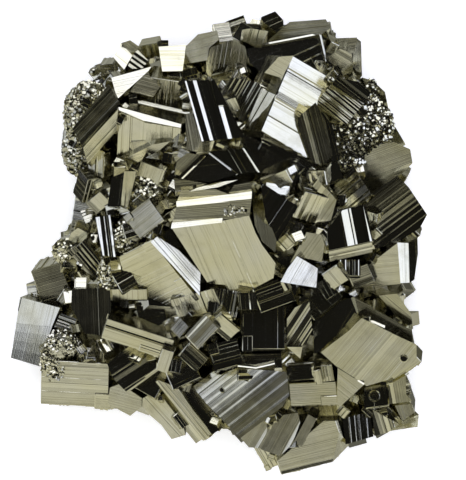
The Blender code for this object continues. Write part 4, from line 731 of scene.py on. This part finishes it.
        (91.1, 97.0), (91.1, 102.0), (97.0, 101.1), (96.8, 95.9)]),
    ("navy_streaked_face", 29.6, (5, 15), 275, 18.0, "navy_streaks", [
        (85.7, 104.8), (86.5, 111.1), (93.4, 109.2), (92.5, 103.0)]),
    ("grey_strip_face", 29.2, (245, 23), 287, 18.0, "lined", [
        (93.2, 102.5), (93.8, 109.0), (97.0, 108.2), (99.8, 106.1)]),
    ("grey_corner_face", 29.0, (262, 22), 287, 18.0, "calm", [
        (98.9, 101.5), (100.7, 105.3), (103.9, 103.0), (103.0, 101.1)]),
    ("pale_corner_face", 27.0, (98, 27), 200, 16.0, "calm", [
        (101.1, 105.3), (97.0, 108.0), (104.5, 106.8), (104.8, 103.9)]),
    ("dark_shield_face", 40.5, (250, 15.5), 272, 14.0, "plain", [
        (18.1, 72.3), (17.9, 76.7), (21.3, 83.3), (26.5, 83.8), (27.8, 77.5), (27.5, 71.9)]),
]


def on_base(right, down, height):
    """A point of the drawing grid, in millimetres from the middle of the base."""
    return Vector((right - MIDDLE_RIGHT, MIDDLE_DOWN - down, height))


def corner_box(near_corner, *edges):
    """The near corner and the three edge vectors of a block whose corner points upwards."""
    seen = [math.radians(direction) for direction, _ in edges]
    across = [math.cos(seen[(i + 1) % 3] - seen[(i + 2) % 3]) for i in range(3)]
    vectors = []
    for i, (_, length) in enumerate(edges):
        drop = math.sqrt(-across[(i + 1) % 3] * across[(i + 2) % 3] / across[i])
        vectors.append(Vector((math.cos(seen[i]), math.sin(seen[i]), -drop)) * length)
    return on_base(*near_corner), vectors


def face_axes(lean, edge):
    """The ways that a leaning face runs along its edge and across it, and the way that it looks."""
    towards, tilt = (math.radians(angle) for angle in lean)
    aside = math.sin(tilt)
    normal = Vector((aside * math.cos(towards), aside * math.sin(towards), math.cos(tilt)))
    seen = Vector((math.cos(math.radians(edge)), math.sin(math.radians(edge)), 0.0))
    along = (seen - Vector((0, 0, 1)) * seen.dot(normal) / normal.z).normalized()
    return along, normal.cross(along), normal


def face_box(face_centre, lean, edge, size):
    """A corner and the three edge vectors of a block that turns a leaning face upwards."""
    along, across, normal = face_axes(lean, edge)
    along *= size[0] / along.xy.length
    across *= size[1] / across.xy.length
    corner = on_base(*face_centre) - along / 2 - across / 2
    return corner, [along, across, -normal * size[2]]


def grow_bands(length, habit, rng):
    """The bands across a face: places from one side to the other, and the height at each."""
    place = 0.0
    bands = []
    while place < length:
        if habit in BANDS:
            ahead = [band for band in BANDS[habit] if band[0] * length > place + FLAT or band[0] == 1]
            share, slope = ahead[0]
            width = max(share * length - place, CLIFF * 2)
            low = 0.0
        else:
            narrow, wide, sloping, steep, gentle, reach = HABITS[habit]
            width = narrow * (wide / narrow) ** rng.random()
            slope = rng.uniform(-gentle, gentle)
            if rng.random() < sloping:
                slope = rng.uniform(*steep) * rng.choice((-1, 1))
                width = min(width, reach / math.tan(math.radians(abs(slope))))
            low = rng.uniform(0, reach) * rng.random()
        rise = width * math.tan(math.radians(slope))
        start = low if rise > 0 else low - rise
        bands.append((place, start))
        bands.append((place + width - CLIFF, start + rise))
        place += width
    return bands


def height_at(bands, place):
    """The height of a face's bands at a place across it."""
    for (one, low), (two, high) in zip(bands, bands[1:]):
        if place <= two:
            return low + (high - low) * (place - one) / (two - one)
    return bands[-1][1]


def cut_off(bm, cuts, corner, vectors):
    """Takes pieces off a block, each along a plane, and closes it there."""
    for right, down, towards, upwards in cuts:
        spot = on_base(right, down, 0.0)
        normal = vectors[0].cross(vectors[1])
        spot.z = corner.z - ((spot - corner).xy.dot(normal.xy)) / normal.z
        towards, upwards = math.radians(towards), math.radians(upwards)
        level = math.cos(upwards)
        outward = Vector((level * math.cos(towards), level * math.sin(towards), math.sin(upwards)))
        geom = bm.verts[:] + bm.edges[:] + bm.faces[:]
        made = bmesh.ops.bisect_plane(bm, geom=geom, plane_co=spot, plane_no=outward, clear_outer=True)
        rim = [item for item in made["geom_cut"] if isinstance(item, bmesh.types.BMEdge)]
        if rim:
            bmesh.ops.contextual_create(bm, geom=rim)


def grow_block(corner, vectors, lines_along, habits, rng, wear):
    """A block with worn edges and banded faces at its near corner."""
    first, second, third = vectors
    sides = (first, second, third)
    if lines_along == 1:
        sides = (second, first, third)
        habits = (habits[0], habits[2], habits[1])
    lengths = [side.length for side in sides]
    bm = bmesh.new()
    bmesh.ops.create_cube(bm, size=1.0)
    bmesh.ops.translate(bm, vec=(0.5, 0.5, 0.5), verts=bm.verts)
    bmesh.ops.scale(bm, vec=lengths, verts=bm.verts)
    wear = min(wear, min(lengths) * WEAR_SHARE)
    bmesh.ops.bevel(bm, geom=bm.edges[:], offset=wear, segments=1, profile=0.5, affect="EDGES", material=-1)
    all_bands = {}
    for axis, habit in zip((2, 1, 0), habits):
        varies = (axis + 2) % 3
        bands = grow_bands(lengths[varies], habit, rng)
        all_bands[axis] = bands
        line_up = Vector([float(k == varies) for k in range(3)])
        strip = min(bm.faces, key=lambda face: face.calc_center_median()[axis])
        for cut, _ in bands[1:-1]:
            if not wear * WEAR_ROOM < cut < lengths[varies] - wear * WEAR_ROOM:
                continue
            geom = [strip] + list(strip.edges) + list(strip.verts)
            bmesh.ops.bisect_plane(bm, geom=geom, plane_co=line_up * cut, plane_no=line_up)
            level = [face for face in bm.faces if all(abs(vert.co[axis]) < FLAT for vert in face.verts)]
            strip = max(level, key=lambda face: face.calc_center_median()[varies])
    bm.normal_update()
    growth = bm.loops.layers.uv.new("growth")
    tone = bm.faces.layers.float.new("own_tone")
    own = rng.uniform(*CRYSTAL_TONES)
    shift = Vector((rng.uniform(*MAP_SHIFTS), rng.uniform(*MAP_SHIFTS)))
    for face in bm.faces:
        face[tone] = own * rng.uniform(*FACE_TONES)
        axis = max(range(3), key=lambda k: abs(face.normal[k]))
        for loop in face.loops:
            spot = loop.vert.co
            along, across = spot[(axis + 1) % 3], spot[(axis + 2) % 3]
            loop[growth].uv = (along + shift.x, across + shift.y + SIDE_SHIFT * axis)
    for vert in bm.verts:
        spot = vert.co.copy()
        for axis, bands in all_bands.items():
            if abs(spot[axis]) < FLAT:
                vert.co[axis] -= height_at(bands, spot[(axis + 2) % 3])
    shape = Matrix([side.normalized() for side in sides]).transposed().to_4x4()
    shape.translation = corner
    bmesh.ops.transform(bm, matrix=shape, verts=bm.verts)
    if shape.determinant() < 0:
        bmesh.ops.reverse_faces(bm, faces=bm.faces)
    return bm


def grow_outline(points):
    """The points of an outline, each moved outwards, so that neighbours grow into each other."""
    before_each = points[-1:] + points[:-1]
    after_each = points[1:] + points[:1]
    turning = sum(point.x * after.y - after.x * point.y for point, after in zip(points, after_each))
    moved = []
    for before, point, after in zip(before_each, points, after_each):
        one = (point - before).xy.normalized()
        two = (after - point).xy.normalized()
        out = Vector((one.y + two.y, -one.x - two.x, 0.0)) / max(1 + one.dot(two), SHARPEST)
        moved.append(point + out * math.copysign(OVERLAP, turning))
    return moved


def grow_shard(height, lean, lines, depth, habit, outline, rng):
    """A block whose upper face has its own outline, and is banded along its lines."""
    points = grow_outline([on_base(right, down, 0.0) for right, down in outline])
    middle = sum(points, Vector()) / len(points)
    along, across, normal = face_axes(lean, lines)
    to_place = Matrix((along, across, normal)).transposed()
    for point in points:
        point.z = height - (point - middle).xy.dot(normal.xy) / normal.z
    middle.z = height
    flat = [to_place.transposed() @ (point - middle) for point in points]
    lowest = min(point.y for point in flat)
    bands = grow_bands(max(point.y for point in flat) - lowest, habit, rng)
    bm = bmesh.new()
    bm.faces.new([bm.verts.new((point.x, point.y, 0.0)) for point in flat])
    for cut, _ in bands[1:-1]:
        geom = bm.verts[:] + bm.edges[:] + bm.faces[:]
        bmesh.ops.bisect_plane(bm, geom=geom, plane_co=(0, lowest + cut, 0), plane_no=(0, 1, 0))
    upper = bm.faces[:]
    rim = bm.verts[:]
    made = bmesh.ops.extrude_face_region(bm, geom=upper)["geom"]
    lower = [item for item in made if isinstance(item, bmesh.types.BMVert)]
    inwards = -middle.xy * middle.xy.length * FAN
    down = to_place.transposed() @ Vector((inwards.x, inwards.y, -1.0)) * depth
    bmesh.ops.translate(bm, vec=down, verts=lower)
    for vert in rim:
        vert.co.z += height_at(bands, vert.co.y - lowest)
    bmesh.ops.recalc_face_normals(bm, faces=bm.faces)
    growth = bm.loops.layers.uv.new("growth")
    tone = bm.faces.layers.float.new("own_tone")
    own = rng.uniform(*OUTLINED_TONES)
    shift = Vector((rng.uniform(*MAP_SHIFTS), rng.uniform(*MAP_SHIFTS)))
    for face in bm.faces:
        face[tone] = own
        for loop in face.loops:
            spot = loop.vert.co
            loop[growth].uv = (spot.x + shift.x, spot.y + spot.z + shift.y)
    shape = to_place.to_4x4()
    shape.translation = middle
    bmesh.ops.transform(bm, matrix=shape, verts=bm.verts)
    return bm


def keep_solid(name, bm, group):
    """Puts a closed shape, made in millimetres, among the shapes that are joined."""
    bmesh.ops.scale(bm, vec=(MM, MM, MM), verts=bm.verts)
    mesh = bpy.data.meshes.new(name)
    bm.to_mesh(mesh)
    bm.free()
    solid = bpy.data.objects.new(name, mesh)
    group.objects.link(solid)
    return solid


def grow_crystal(name, corner, vectors, lines_along, habits, offshoots, group, rng):
    """A crystal, and the smaller blocks that stand out of its faces side by side."""
    bm = grow_block(corner, vectors, lines_along, habits, rng, EDGE_WEAR)
    cut_off(bm, CUTS.get(name, []), corner, vectors)
    keep_solid(name, bm, group)
    for _ in range(offshoots):
        face = rng.choice((0, 1, 2, 2))
        run, width, depth = (vectors[(face + k) % 3] for k in (1, 2, 0))
        out = rng.uniform(*OFFSHOOT_STANDS)
        small = [Vector(), Vector(), Vector()]
        small[face] = depth.normalized() * min(depth.length * OFFSHOOT_DEPTH_SHARE, OFFSHOOT_DEPTH)
        small_corner = corner - depth.normalized() * out
        for k, side in ((1, run), (2, width)):
            share = rng.uniform(*OFFSHOOT_SHARES)
            start = rng.choice((-OFFSHOOT_REACH, 1 + OFFSHOOT_REACH - share))
            small[(face + k) % 3] = side * share
            small_corner += side * start
        block = grow_block(small_corner, small, lines_along, habits, rng, OFFSHOOT_WEAR)
        keep_solid("offshoot", block, group)


blocks = bpy.data.collections.new("blocks")
for name, near_corner, *edges, lines_along, habits in CORNER_CRYSTALS:
    corner, vectors = corner_box(near_corner, *edges)
    longest = max(vector.length for vector in vectors)
    offshoots = 0 if BANDS.keys() & set(habits) else int(longest / OFFSHOOT_SPACING)
    grow_crystal(name, corner, vectors, lines_along, habits, offshoots, blocks, random.Random(name))
for name, face_centre, lean, edge, size, lines_along, habit in FACE_CRYSTALS:
    corner, vectors = face_box(face_centre, lean, edge, size)
    habits = (habit, "lined", "lined")
    offshoots = int(max(size) / OFFSHOOT_SPACING)
    grow_crystal(name, corner, vectors, lines_along, habits, offshoots, blocks, random.Random(name))
for name, height, lean, lines, depth, habit, outline in SHARDS:
    keep_solid(name, grow_shard(height, lean, lines, depth, habit, outline, random.Random(name)), blocks)


# Mound. The ore that carries the crystals: one stepped hill, with smaller crystals on its sides
# that grew outwards, and lumps that fine grains cover.

# The hill's outline on the grid. A level gives a height and the outline's scale there.
MOUND_OUTLINE = [
    (28.0, 16.0), (41.0, 11.0), (50.0, 9.0), (60.0, 5.5), (70.0, 4.5), (82.0, 6.0), (90.0, 11.0),
    (91.0, 19.0), (97.0, 24.0), (99.0, 34.0), (103.0, 40.0), (101.0, 46.0), (105.0, 54.0),
    (104.0, 62.0), (103.0, 71.0), (100.5, 76.0), (103.0, 84.0), (103.0, 92.0), (102.0, 98.0),
    (104.0, 104.0), (96.0, 107.5), (86.0, 110.5), (77.0, 115.5), (68.5, 116.0), (61.0, 110.0),
    (52.0, 107.5), (40.0, 105.0), (33.0, 103.0), (25.0, 101.0), (11.0, 100.0), (10.0, 91.5),
    (5.0, 88.0), (5.5, 78.0), (9.0, 69.0), (14.5, 62.0), (18.5, 54.0), (20.0, 45.0), (17.0, 36.0),
    (18.0, 26.0), (23.0, 19.0),
]
MOUND_LEVELS = [
    (-2.0, 0.86), (7.0, 0.92), (15.0, 0.94), (22.0, 0.87), (29.0, 0.74), (34.0, 0.6), (39.0, 0.4),
]
# The share of the metal's lightness that bare ore has, how uneven the lumps are, and the size of the
# cube under the table that cuts the cluster off flat.
ORE_TONE = 0.8
LUMP_REACH = (0.9, 1.03)
GROUND_SIZE = 400.0
MOUND_SEED = 31
# Crystals on the sides: how many, their sizes, heights and the shares of their sides, how far they
# turn and tilt in radians, the outline's scale where they stand, and the pull inwards at a time.
FLANK_COUNT = 74
FLANK_SIZES = (5.5, 13.0)
FLANK_HEIGHTS = (2.0, 25.0)
FLANK_SHAPES = (0.75, 1.25)
FLANK_TURN = 0.5
FLANK_TILT = 0.7
FLANK_SCALE = 0.92
FLANK_PULL = 0.5
FLANK_SEED = 7


def outline_at(scale):
    """The mound's outline, drawn in or out from its middle."""
    points = [on_base(right, down, 0.0) for right, down in MOUND_OUTLINE]
    return [point * scale for point in points]


def add_ore_tone(bm, share, millimetre):
    """Gives ore the same map and tone values that a crystal has."""
    growth = bm.loops.layers.uv.new("growth")
    tone = bm.faces.layers.float.new("own_tone")
    for face in bm.faces:
        face[tone] = share
        for loop in face.loops:
            loop[growth].uv = loop.vert.co.xy / millimetre


def add_mound(group):
    """The hill of ore under the crystals."""
    bm = bmesh.new()
    first_height, first_scale = MOUND_LEVELS[0]
    ring = [bm.verts.new(point + Vector((0, 0, first_height))) for point in outline_at(first_scale)]
    face = bm.faces.new(ring)
    for (low, low_scale), (high, high_scale) in zip(MOUND_LEVELS, MOUND_LEVELS[1:]):
        made = bmesh.ops.extrude_face_region(bm, geom=[face])["geom"]
        verts = [item for item in made if isinstance(item, bmesh.types.BMVert)]
        if low != first_height:
            bmesh.ops.delete(bm, geom=[face], context="FACES_ONLY")
        face = next(item for item in made if isinstance(item, bmesh.types.BMFace))
        wider = high_scale / low_scale
        bmesh.ops.scale(bm, vec=(wider, wider, 1), verts=verts)
        bmesh.ops.translate(bm, vec=(0, 0, high - low), verts=verts)
    bmesh.ops.recalc_face_normals(bm, faces=bm.faces)
    add_ore_tone(bm, ORE_TONE, 1.0)
    return keep_solid("mound", bm, group)


def add_grain_mound(middle, half_widths, group, rng):
    """A low, many-sided lump, which carries fine grains."""
    bm = bmesh.new()
    bmesh.ops.create_icosphere(bm, subdivisions=3, radius=1.0)
    for vert in bm.verts:
        vert.co *= rng.uniform(*LUMP_REACH)
    bmesh.ops.scale(bm, vec=half_widths, verts=bm.verts)
    bmesh.ops.translate(bm, vec=on_base(*middle), verts=bm.verts)
    add_ore_tone(bm, ORE_TONE, 1.0)
    keep_solid("grain_mound", bm, group)


def inside(point, outline):
    """Whether a point stands inside an outline, seen from above."""
    crossings = 0
    for one, two in zip(outline, outline[1:] + outline[:1]):
        if (one.y > point.y) != (two.y > point.y):
            share = (point.y - one.y) / (two.y - one.y)
            if point.x < one.x + share * (two.x - one.x):
                crossings += 1
    return crossings % 2 == 1


def grow_flank_crystals(group, grow_rng):
    """Blocks on the sides of the mound, each kept inside the outline seen from above."""
    rng = random.Random(FLANK_SEED)
    outline = outline_at(1.0)
    foot = outline_at(FLANK_SCALE)
    signs = [Vector((a, b, c)) / 2 for a in (-1, 1) for b in (-1, 1) for c in (-1, 1)]
    for number in range(FLANK_COUNT):
        place = (number + rng.random()) / FLANK_COUNT * len(foot)
        one, two = foot[int(place) % len(foot)], foot[(int(place) + 1) % len(foot)]
        spot = one.lerp(two, place % 1)
        spot.z = rng.uniform(*FLANK_HEIGHTS)
        size = rng.uniform(*FLANK_SIZES)
        sides = Vector([size * rng.uniform(*FLANK_SHAPES) for _ in range(3)])
        outward = math.atan2(spot.y, spot.x) + rng.uniform(-FLANK_TURN, FLANK_TURN)
        roll = Euler((rng.uniform(0, math.pi / 2), rng.uniform(-FLANK_TILT, FLANK_TILT), 0))
        shape = Matrix.Rotation(outward, 3, "Z") @ roll.to_matrix() @ Matrix.Diagonal(sides)
        reach = [shape @ sign for sign in signs]
        while not all(inside(spot + arm, outline) for arm in reach):
            spot -= spot.xy.normalized().to_3d() * FLANK_PULL
        outer = shape @ Vector((0.5, 0.5, 0.5))
        vectors = [-side for side in shape.col]
        habits = ("lined", "calm", "lined")
        grow_crystal("flank", spot + outer, vectors, number % 2, habits, 1, group, grow_rng)


def join_shapes(name, first, others):
    """The mesh of a shape fused with a group of others, and cut off flat at the table."""
    union = first.modifiers.new("grown together", "BOOLEAN")
    union.operation = "UNION"
    union.solver = "MANIFOLD"
    union.operand_type = "COLLECTION"
    union.collection = others
    bm = bmesh.new()
    bmesh.ops.create_cube(bm, size=GROUND_SIZE)
    bmesh.ops.translate(bm, vec=(0, 0, -GROUND_SIZE / 2), verts=bm.verts)
    ground = keep_solid("ground", bm, bpy.context.scene.collection)
    cut = first.modifiers.new("flat base", "BOOLEAN")
    cut.operation = "DIFFERENCE"
    cut.solver = "MANIFOLD"
    cut.object = ground
    joined = first.evaluated_get(bpy.context.evaluated_depsgraph_get())
    mesh = bpy.data.meshes.new_from_object(joined)
    mesh.name = name
    for solid in list(others.objects) + [first, ground]:
        bpy.data.objects.remove(solid)
    bpy.data.collections.remove(others)
    return mesh


def keep_largest_shell(mesh):
    """Takes away what isn't joined to the largest closed shell of a mesh."""
    bm = bmesh.new()
    bm.from_mesh(mesh)
    left = set(bm.faces)
    shells = []
    while left:
        shell = []
        edge_of_shell = [left.pop()]
        while edge_of_shell:
            face = edge_of_shell.pop()
            shell.append(face)
            for edge in face.edges:
                for other in edge.link_faces:
                    if other in left:
                        left.remove(other)
                        edge_of_shell.append(other)
        shells.append(shell)
    shells.sort(key=len)
    for shell in shells[:-1]:
        bmesh.ops.delete(bm, geom=shell, context="FACES")
    bm.to_mesh(mesh)
    bm.free()


rng = random.Random(MOUND_SEED)
for name, middle, half_widths in GRAIN_MOUNDS:
    add_grain_mound(middle, half_widths, blocks, rng)
grow_flank_crystals(blocks, rng)
large_mesh = join_shapes("large_crystals", add_mound(bpy.context.scene.collection), blocks)
keep_largest_shell(large_mesh)


# Small crystals. Young crystals of all sizes fill the hollows between the large ones, turned every
# way. They are fused with the cluster too.
SMALL_TRIES = 2600
SMALL_RIGHT = (2, 108)
SMALL_DOWN = (2, 118)
SMALL_SIZES = (1.1, 3.4)
# Their sides and how far they stand out, as shares of their size, and their depth: a share of it,
# and what is added to that.
SIDE_SHARES = (0.7, 1.3)
SMALL_STANDS = (0.4, 0.9)
SMALL_DEPTH_SHARE = 1.6
SMALL_DEPTH = 1.0
SMALL_WEAR = 0.08
SMALL_SCALE = 0.99
# A place is in a hollow when, this far around it, the cluster stands this much higher. That is
# looked up in so many places. Heights are taken from above the cluster.
HOLLOW_REACH = 2.2
HOLLOW_DEPTH = 1.3
HOLLOW_PLACES = 6
ABOVE_ALL = 80.0
# Where no small crystals grow: places on the grid, and how far around each.
BARE_SPOTS = [
    (65.0, 80.0, 9.0), (57.0, 42.0, 6.0), (66.0, 40.0, 7.0), (84.0, 81.0, 6.5), (70.0, 13.0, 6.0),
    (76.0, 12.0, 6.0), (52.0, 97.0, 5.0), (61.0, 99.0, 8.5), (51.0, 42.0, 6.0), (79.5, 25.0, 4.5),
    (85.0, 24.0, 4.0), (94.0, 99.0, 4.0), (89.5, 107.0, 4.5), (81.5, 80.5, 5.0), (100.5, 104.0, 4.5),
    (37.5, 33.0, 5.5), (43.2, 18.5, 2.6), (36.0, 16.4, 2.4), (56.5, 4.6, 3.2), (83.5, 5.5, 3.6),
    (85.5, 15.5, 4.0), (82.3, 28.6, 3.2), (57.6, 8.2, 3.2), (64.0, 108.5, 4.0),
]
# The ways their upper faces lean: the middle of each way, how far it is spread, and the tilt.
SMALL_LEANS = [
    (255, 45, (22, 31)), (255, 45, (20, 30)), (100, 18, (22, 31)), (3, 22, (28, 40)), (180, 180, (3, 14)),
    (180, 180, (8, 22)), (184, 20, (24, 34)),
]


def drop_on(tree, x, y):
    """The height of the cluster under a point seen from above, in millimetres, or the table."""
    hit = tree.ray_cast(Vector((x, y, ABOVE_ALL)) * MM, Vector((0, 0, -1)))[0]
    return hit.z / MM if hit else 0.0


corners = [vert.co for vert in large_mesh.vertices]
tree = BVHTree.FromPolygons(corners, [face.vertices[:] for face in large_mesh.polygons])
small = bpy.data.collections.new("small")
outline = outline_at(SMALL_SCALE)
for number in range(SMALL_TRIES):
    rng = random.Random(number)
    spot = on_base(rng.uniform(*SMALL_RIGHT), rng.uniform(*SMALL_DOWN), 0.0)
    size = rng.uniform(*SMALL_SIZES)
    towards, to_each_side, tilts = rng.choice(SMALL_LEANS)
    lean = (rng.gauss(towards, to_each_side / 2), rng.uniform(*tilts))
    sides = [size * rng.uniform(*SIDE_SHARES), size * rng.uniform(*SIDE_SHARES)]
    shape = sides + [size * SMALL_DEPTH_SHARE + SMALL_DEPTH]
    edge = rng.uniform(0, 360)
    bare = any((spot - on_base(right, down, 0.0)).length < reach for right, down, reach in BARE_SPOTS)
    if bare or not inside(spot, outline):
        continue
    height = drop_on(tree, spot.x, spot.y)
    around_it = 0.0
    for turn in range(HOLLOW_PLACES):
        beside = spot.x + HOLLOW_REACH * math.cos(turn), spot.y + HOLLOW_REACH * math.sin(turn)
        around_it += drop_on(tree, *beside)
    if around_it / HOLLOW_PLACES - height < HOLLOW_DEPTH:
        continue
    centre = (spot.x + MIDDLE_RIGHT, MIDDLE_DOWN - spot.y, height + size * rng.uniform(*SMALL_STANDS))
    corner, vectors = face_box(centre, lean, edge, shape)
    block = grow_block(corner, vectors, number % 2, ("lined", "calm", "calm"), rng, SMALL_WEAR)
    keep_solid("small", block, small)

cluster_mesh = join_shapes("pyrite_cluster", add_object("fused", large_mesh), small)
cluster_mesh.materials.clear()
cluster_mesh.materials.append(pyrite)
cluster = add_object("pyrite_cluster", cluster_mesh)
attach(cluster, "root")
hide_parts("pyrite_cluster")


# Druse. Crusts of fine grains, each a tiny crystal, which grew last, on the mounds between the
# large crystals. They stand in the ore that they grew on.
GRAIN_TONE = 1.0
GRAIN_SIZES = (0.25, 0.8)
GRAINS_PER_AREA = 5.0
# How high on a mound grains begin, as a share of its height, and how deep they sit in it.
GRAINS_FROM = 0.05
GRAIN_DEPTHS = (0.97, 1.06)
# The ways the grains' upper faces lean, as above: in the dark crusts on the right, in the pale ones,
# and in the cream ones, whose grains are flat.
DARK_CRUSTS = ("right_mound", "right_lower_mound", "right_rim_mound")
DARK_LEANS = [
    (180, 180, (2, 13)), (180, 180, (2, 13)), (180, 180, (2, 13)), (60, 40, (10, 18)), (60, 40, (10, 18)),
    (120, 20, (12, 18)), (255, 45, (22, 30)), (100, 18, (24, 30)), (3, 22, (29, 38)),
]
PALE_LEANS = [
    (255, 35, (25, 32)), (255, 35, (23, 32)), (100, 14, (25, 30)), (184, 16, (25, 32)), (180, 180, (2, 16)),
]
CREAM_CRUSTS = ("cream_mound", "cream_lower_mound", "left_cream_mound")
CREAM_THICKNESS = 0.4
CREAM_LEANS = [
    (258, 36, (28, 34)), (258, 36, (28, 34)), (258, 36, (24, 34)), (258, 36, (24, 34)), (100, 14, (25, 30)),
    (180, 180, (2, 14)),
]
# Patches where single grains are scattered over a large crystal: the middle on the grid and the
# half widths. Rings are small round pits with a raised rim: the middle on the grid, the radius and
# the rim's. Balls are round grains: the middle on the grid and the radius.
SCATTERED = [
    (58.2, 52.8, 3.4, 1.4), (13.6, 92.4, 2.4, 3.2), (30.4, 59.2, 1.8, 3.0), (27.0, 68.5, 1.6, 4.0),
    (18.0, 67.0, 2.6, 2.0),
]
SCATTERED_PER_AREA = 3.0
SCATTERED_SIZES = (0.25, 0.7)
RINGS = [(79.5, 89.5, 1.0, 0.22), (100.8, 89.5, 0.9, 0.2), (93.6, 99.0, 1.2, 0.32), (55.5, 97.5, 0.6, 0.14)]
RIM_SIDES = 8
RING_STEPS = 20
# The way a pit's floor leans and by how much, and its number of sides.
PIT_LEAN = (60, 12)
PIT_SIDES = 12
BALLS = [(23.3, 17.8, 1.2), (82.5, 20.0, 1.1)]
BALL_SEGMENTS = {"u_segments": 16, "v_segments": 10}


def add_grain(bm, spot, size, leans, thickness, rng):
    """A tiny crystal, turned one of the ways that its crust's grains lean."""
    towards, to_each_side, tilts = rng.choice(leans)
    turned = Matrix.Rotation(rng.gauss(math.radians(towards), math.radians(to_each_side) / 2), 4, "Z")
    tilted = turned @ Matrix.Rotation(math.radians(rng.uniform(*tilts)), 4, "Y")
    spun = tilted @ Matrix.Rotation(rng.uniform(0, math.pi), 4, "Z")
    shape = Matrix.Diagonal((1, rng.uniform(*SIDE_SHARES), rng.uniform(*SIDE_SHARES) * thickness, 1))
    bmesh.ops.create_cube(bm, size=size * MM, matrix=Matrix.Translation(spot * MM) @ spun @ shape)


def add_ring(bm, spot, facing, radius, thickness):
    """A small round pit in a face that looks the way given: its raised rim, and its dark floor."""
    stood = Matrix.Translation((radius * MM, 0, 0)) @ Matrix.Rotation(math.pi / 2, 4, "X")
    older = set(bm.verts)
    rim = bmesh.ops.create_circle(bm, segments=RIM_SIDES, radius=thickness * MM, matrix=stood)["verts"]
    edges = list({edge for vert in rim for edge in vert.link_edges})
    full_turn = {"cent": (0, 0, 0), "axis": (0, 0, 1), "angle": 2 * math.pi, "steps": RING_STEPS}
    bmesh.ops.spin(bm, geom=edges, use_merge=True, **full_turn)
    laid = Matrix.Translation(spot) @ facing.to_track_quat("Z", "Y").to_matrix().to_4x4()
    bmesh.ops.transform(bm, matrix=laid, verts=[vert for vert in bm.verts if vert not in older])
    towards, tilt = (math.radians(angle) for angle in PIT_LEAN)
    turned = Matrix.Rotation(towards, 4, "Z") @ Matrix.Rotation(tilt, 4, "Y")
    floor_size = {"radius1": radius * MM, "radius2": radius * MM, "depth": radius * MM}
    turned = Matrix.Translation(spot) @ turned
    bmesh.ops.create_cone(bm, cap_ends=True, segments=PIT_SIDES, matrix=turned, **floor_size)


def add_crust(bm, grains, leans, thickness, rng):
    """Adds a crust's grains, each given by its place and size, made apart, which is quicker."""
    crust = bmesh.new()
    for spot, size in grains:
        add_grain(crust, spot, size, leans, thickness, rng)
    patch = bpy.data.meshes.new("crust")
    crust.to_mesh(patch)
    crust.free()
    bm.from_mesh(patch)
    bpy.data.meshes.remove(patch)


bm = bmesh.new()
for right, down, radius, thickness in RINGS:
    spot, facing = tree.ray_cast(on_base(right, down, ABOVE_ALL) * MM, Vector((0, 0, -1)))[:2]
    add_ring(bm, spot, facing, radius, thickness)
for right, down, radius in BALLS:
    spot = on_base(right, down, 0.0)
    spot.z = drop_on(tree, spot.x, spot.y) + radius / 2
    ball_place = Matrix.Translation(spot * MM)
    bmesh.ops.create_uvsphere(bm, radius=radius * MM, matrix=ball_place, **BALL_SEGMENTS)
bmesh.ops.recalc_face_normals(bm, faces=bm.faces)
for name, middle, half_widths in GRAIN_MOUNDS:
    grains = []
    for _ in range(int(GRAINS_PER_AREA * 2 * math.pi * half_widths[0] * half_widths[1])):
        up = rng.uniform(GRAINS_FROM, 1)
        turn = rng.uniform(0, 2 * math.pi)
        side = math.sqrt(1 - up * up)
        way = Vector((side * math.cos(turn), side * math.sin(turn), up))
        reach = Vector([half * part for half, part in zip(half_widths, way)])
        spot = on_base(*middle) + reach * rng.uniform(*GRAIN_DEPTHS)
        size = GRAIN_SIZES[0] * (GRAIN_SIZES[1] / GRAIN_SIZES[0]) ** rng.random()
        grains.append((spot, size))
    if name in DARK_CRUSTS:
        add_crust(bm, grains, DARK_LEANS, 1.0, rng)
    elif name in CREAM_CRUSTS:
        add_crust(bm, grains, CREAM_LEANS, CREAM_THICKNESS, rng)
    else:
        add_crust(bm, grains, PALE_LEANS, 1.0, rng)
for right, down, half, other_half in SCATTERED:
    grains = []
    for _ in range(int(SCATTERED_PER_AREA * math.pi * half * other_half)):
        turn = rng.uniform(0, 2 * math.pi)
        out = math.sqrt(rng.random())
        spot = on_base(right + half * out * math.cos(turn), down + other_half * out * math.sin(turn), 0.0)
        spot.z = drop_on(tree, spot.x, spot.y)
        grains.append((spot, rng.uniform(*SCATTERED_SIZES)))
    add_crust(bm, grains, PALE_LEANS, 1.0, rng)
add_ore_tone(bm, GRAIN_TONE, MM)
druse_mesh = bpy.data.meshes.new("druse")
bm.to_mesh(druse_mesh)
bm.free()
druse_mesh.materials.append(pyrite)
druse = add_object("druse", druse_mesh)
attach(druse, "root")
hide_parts("pyrite_cluster")
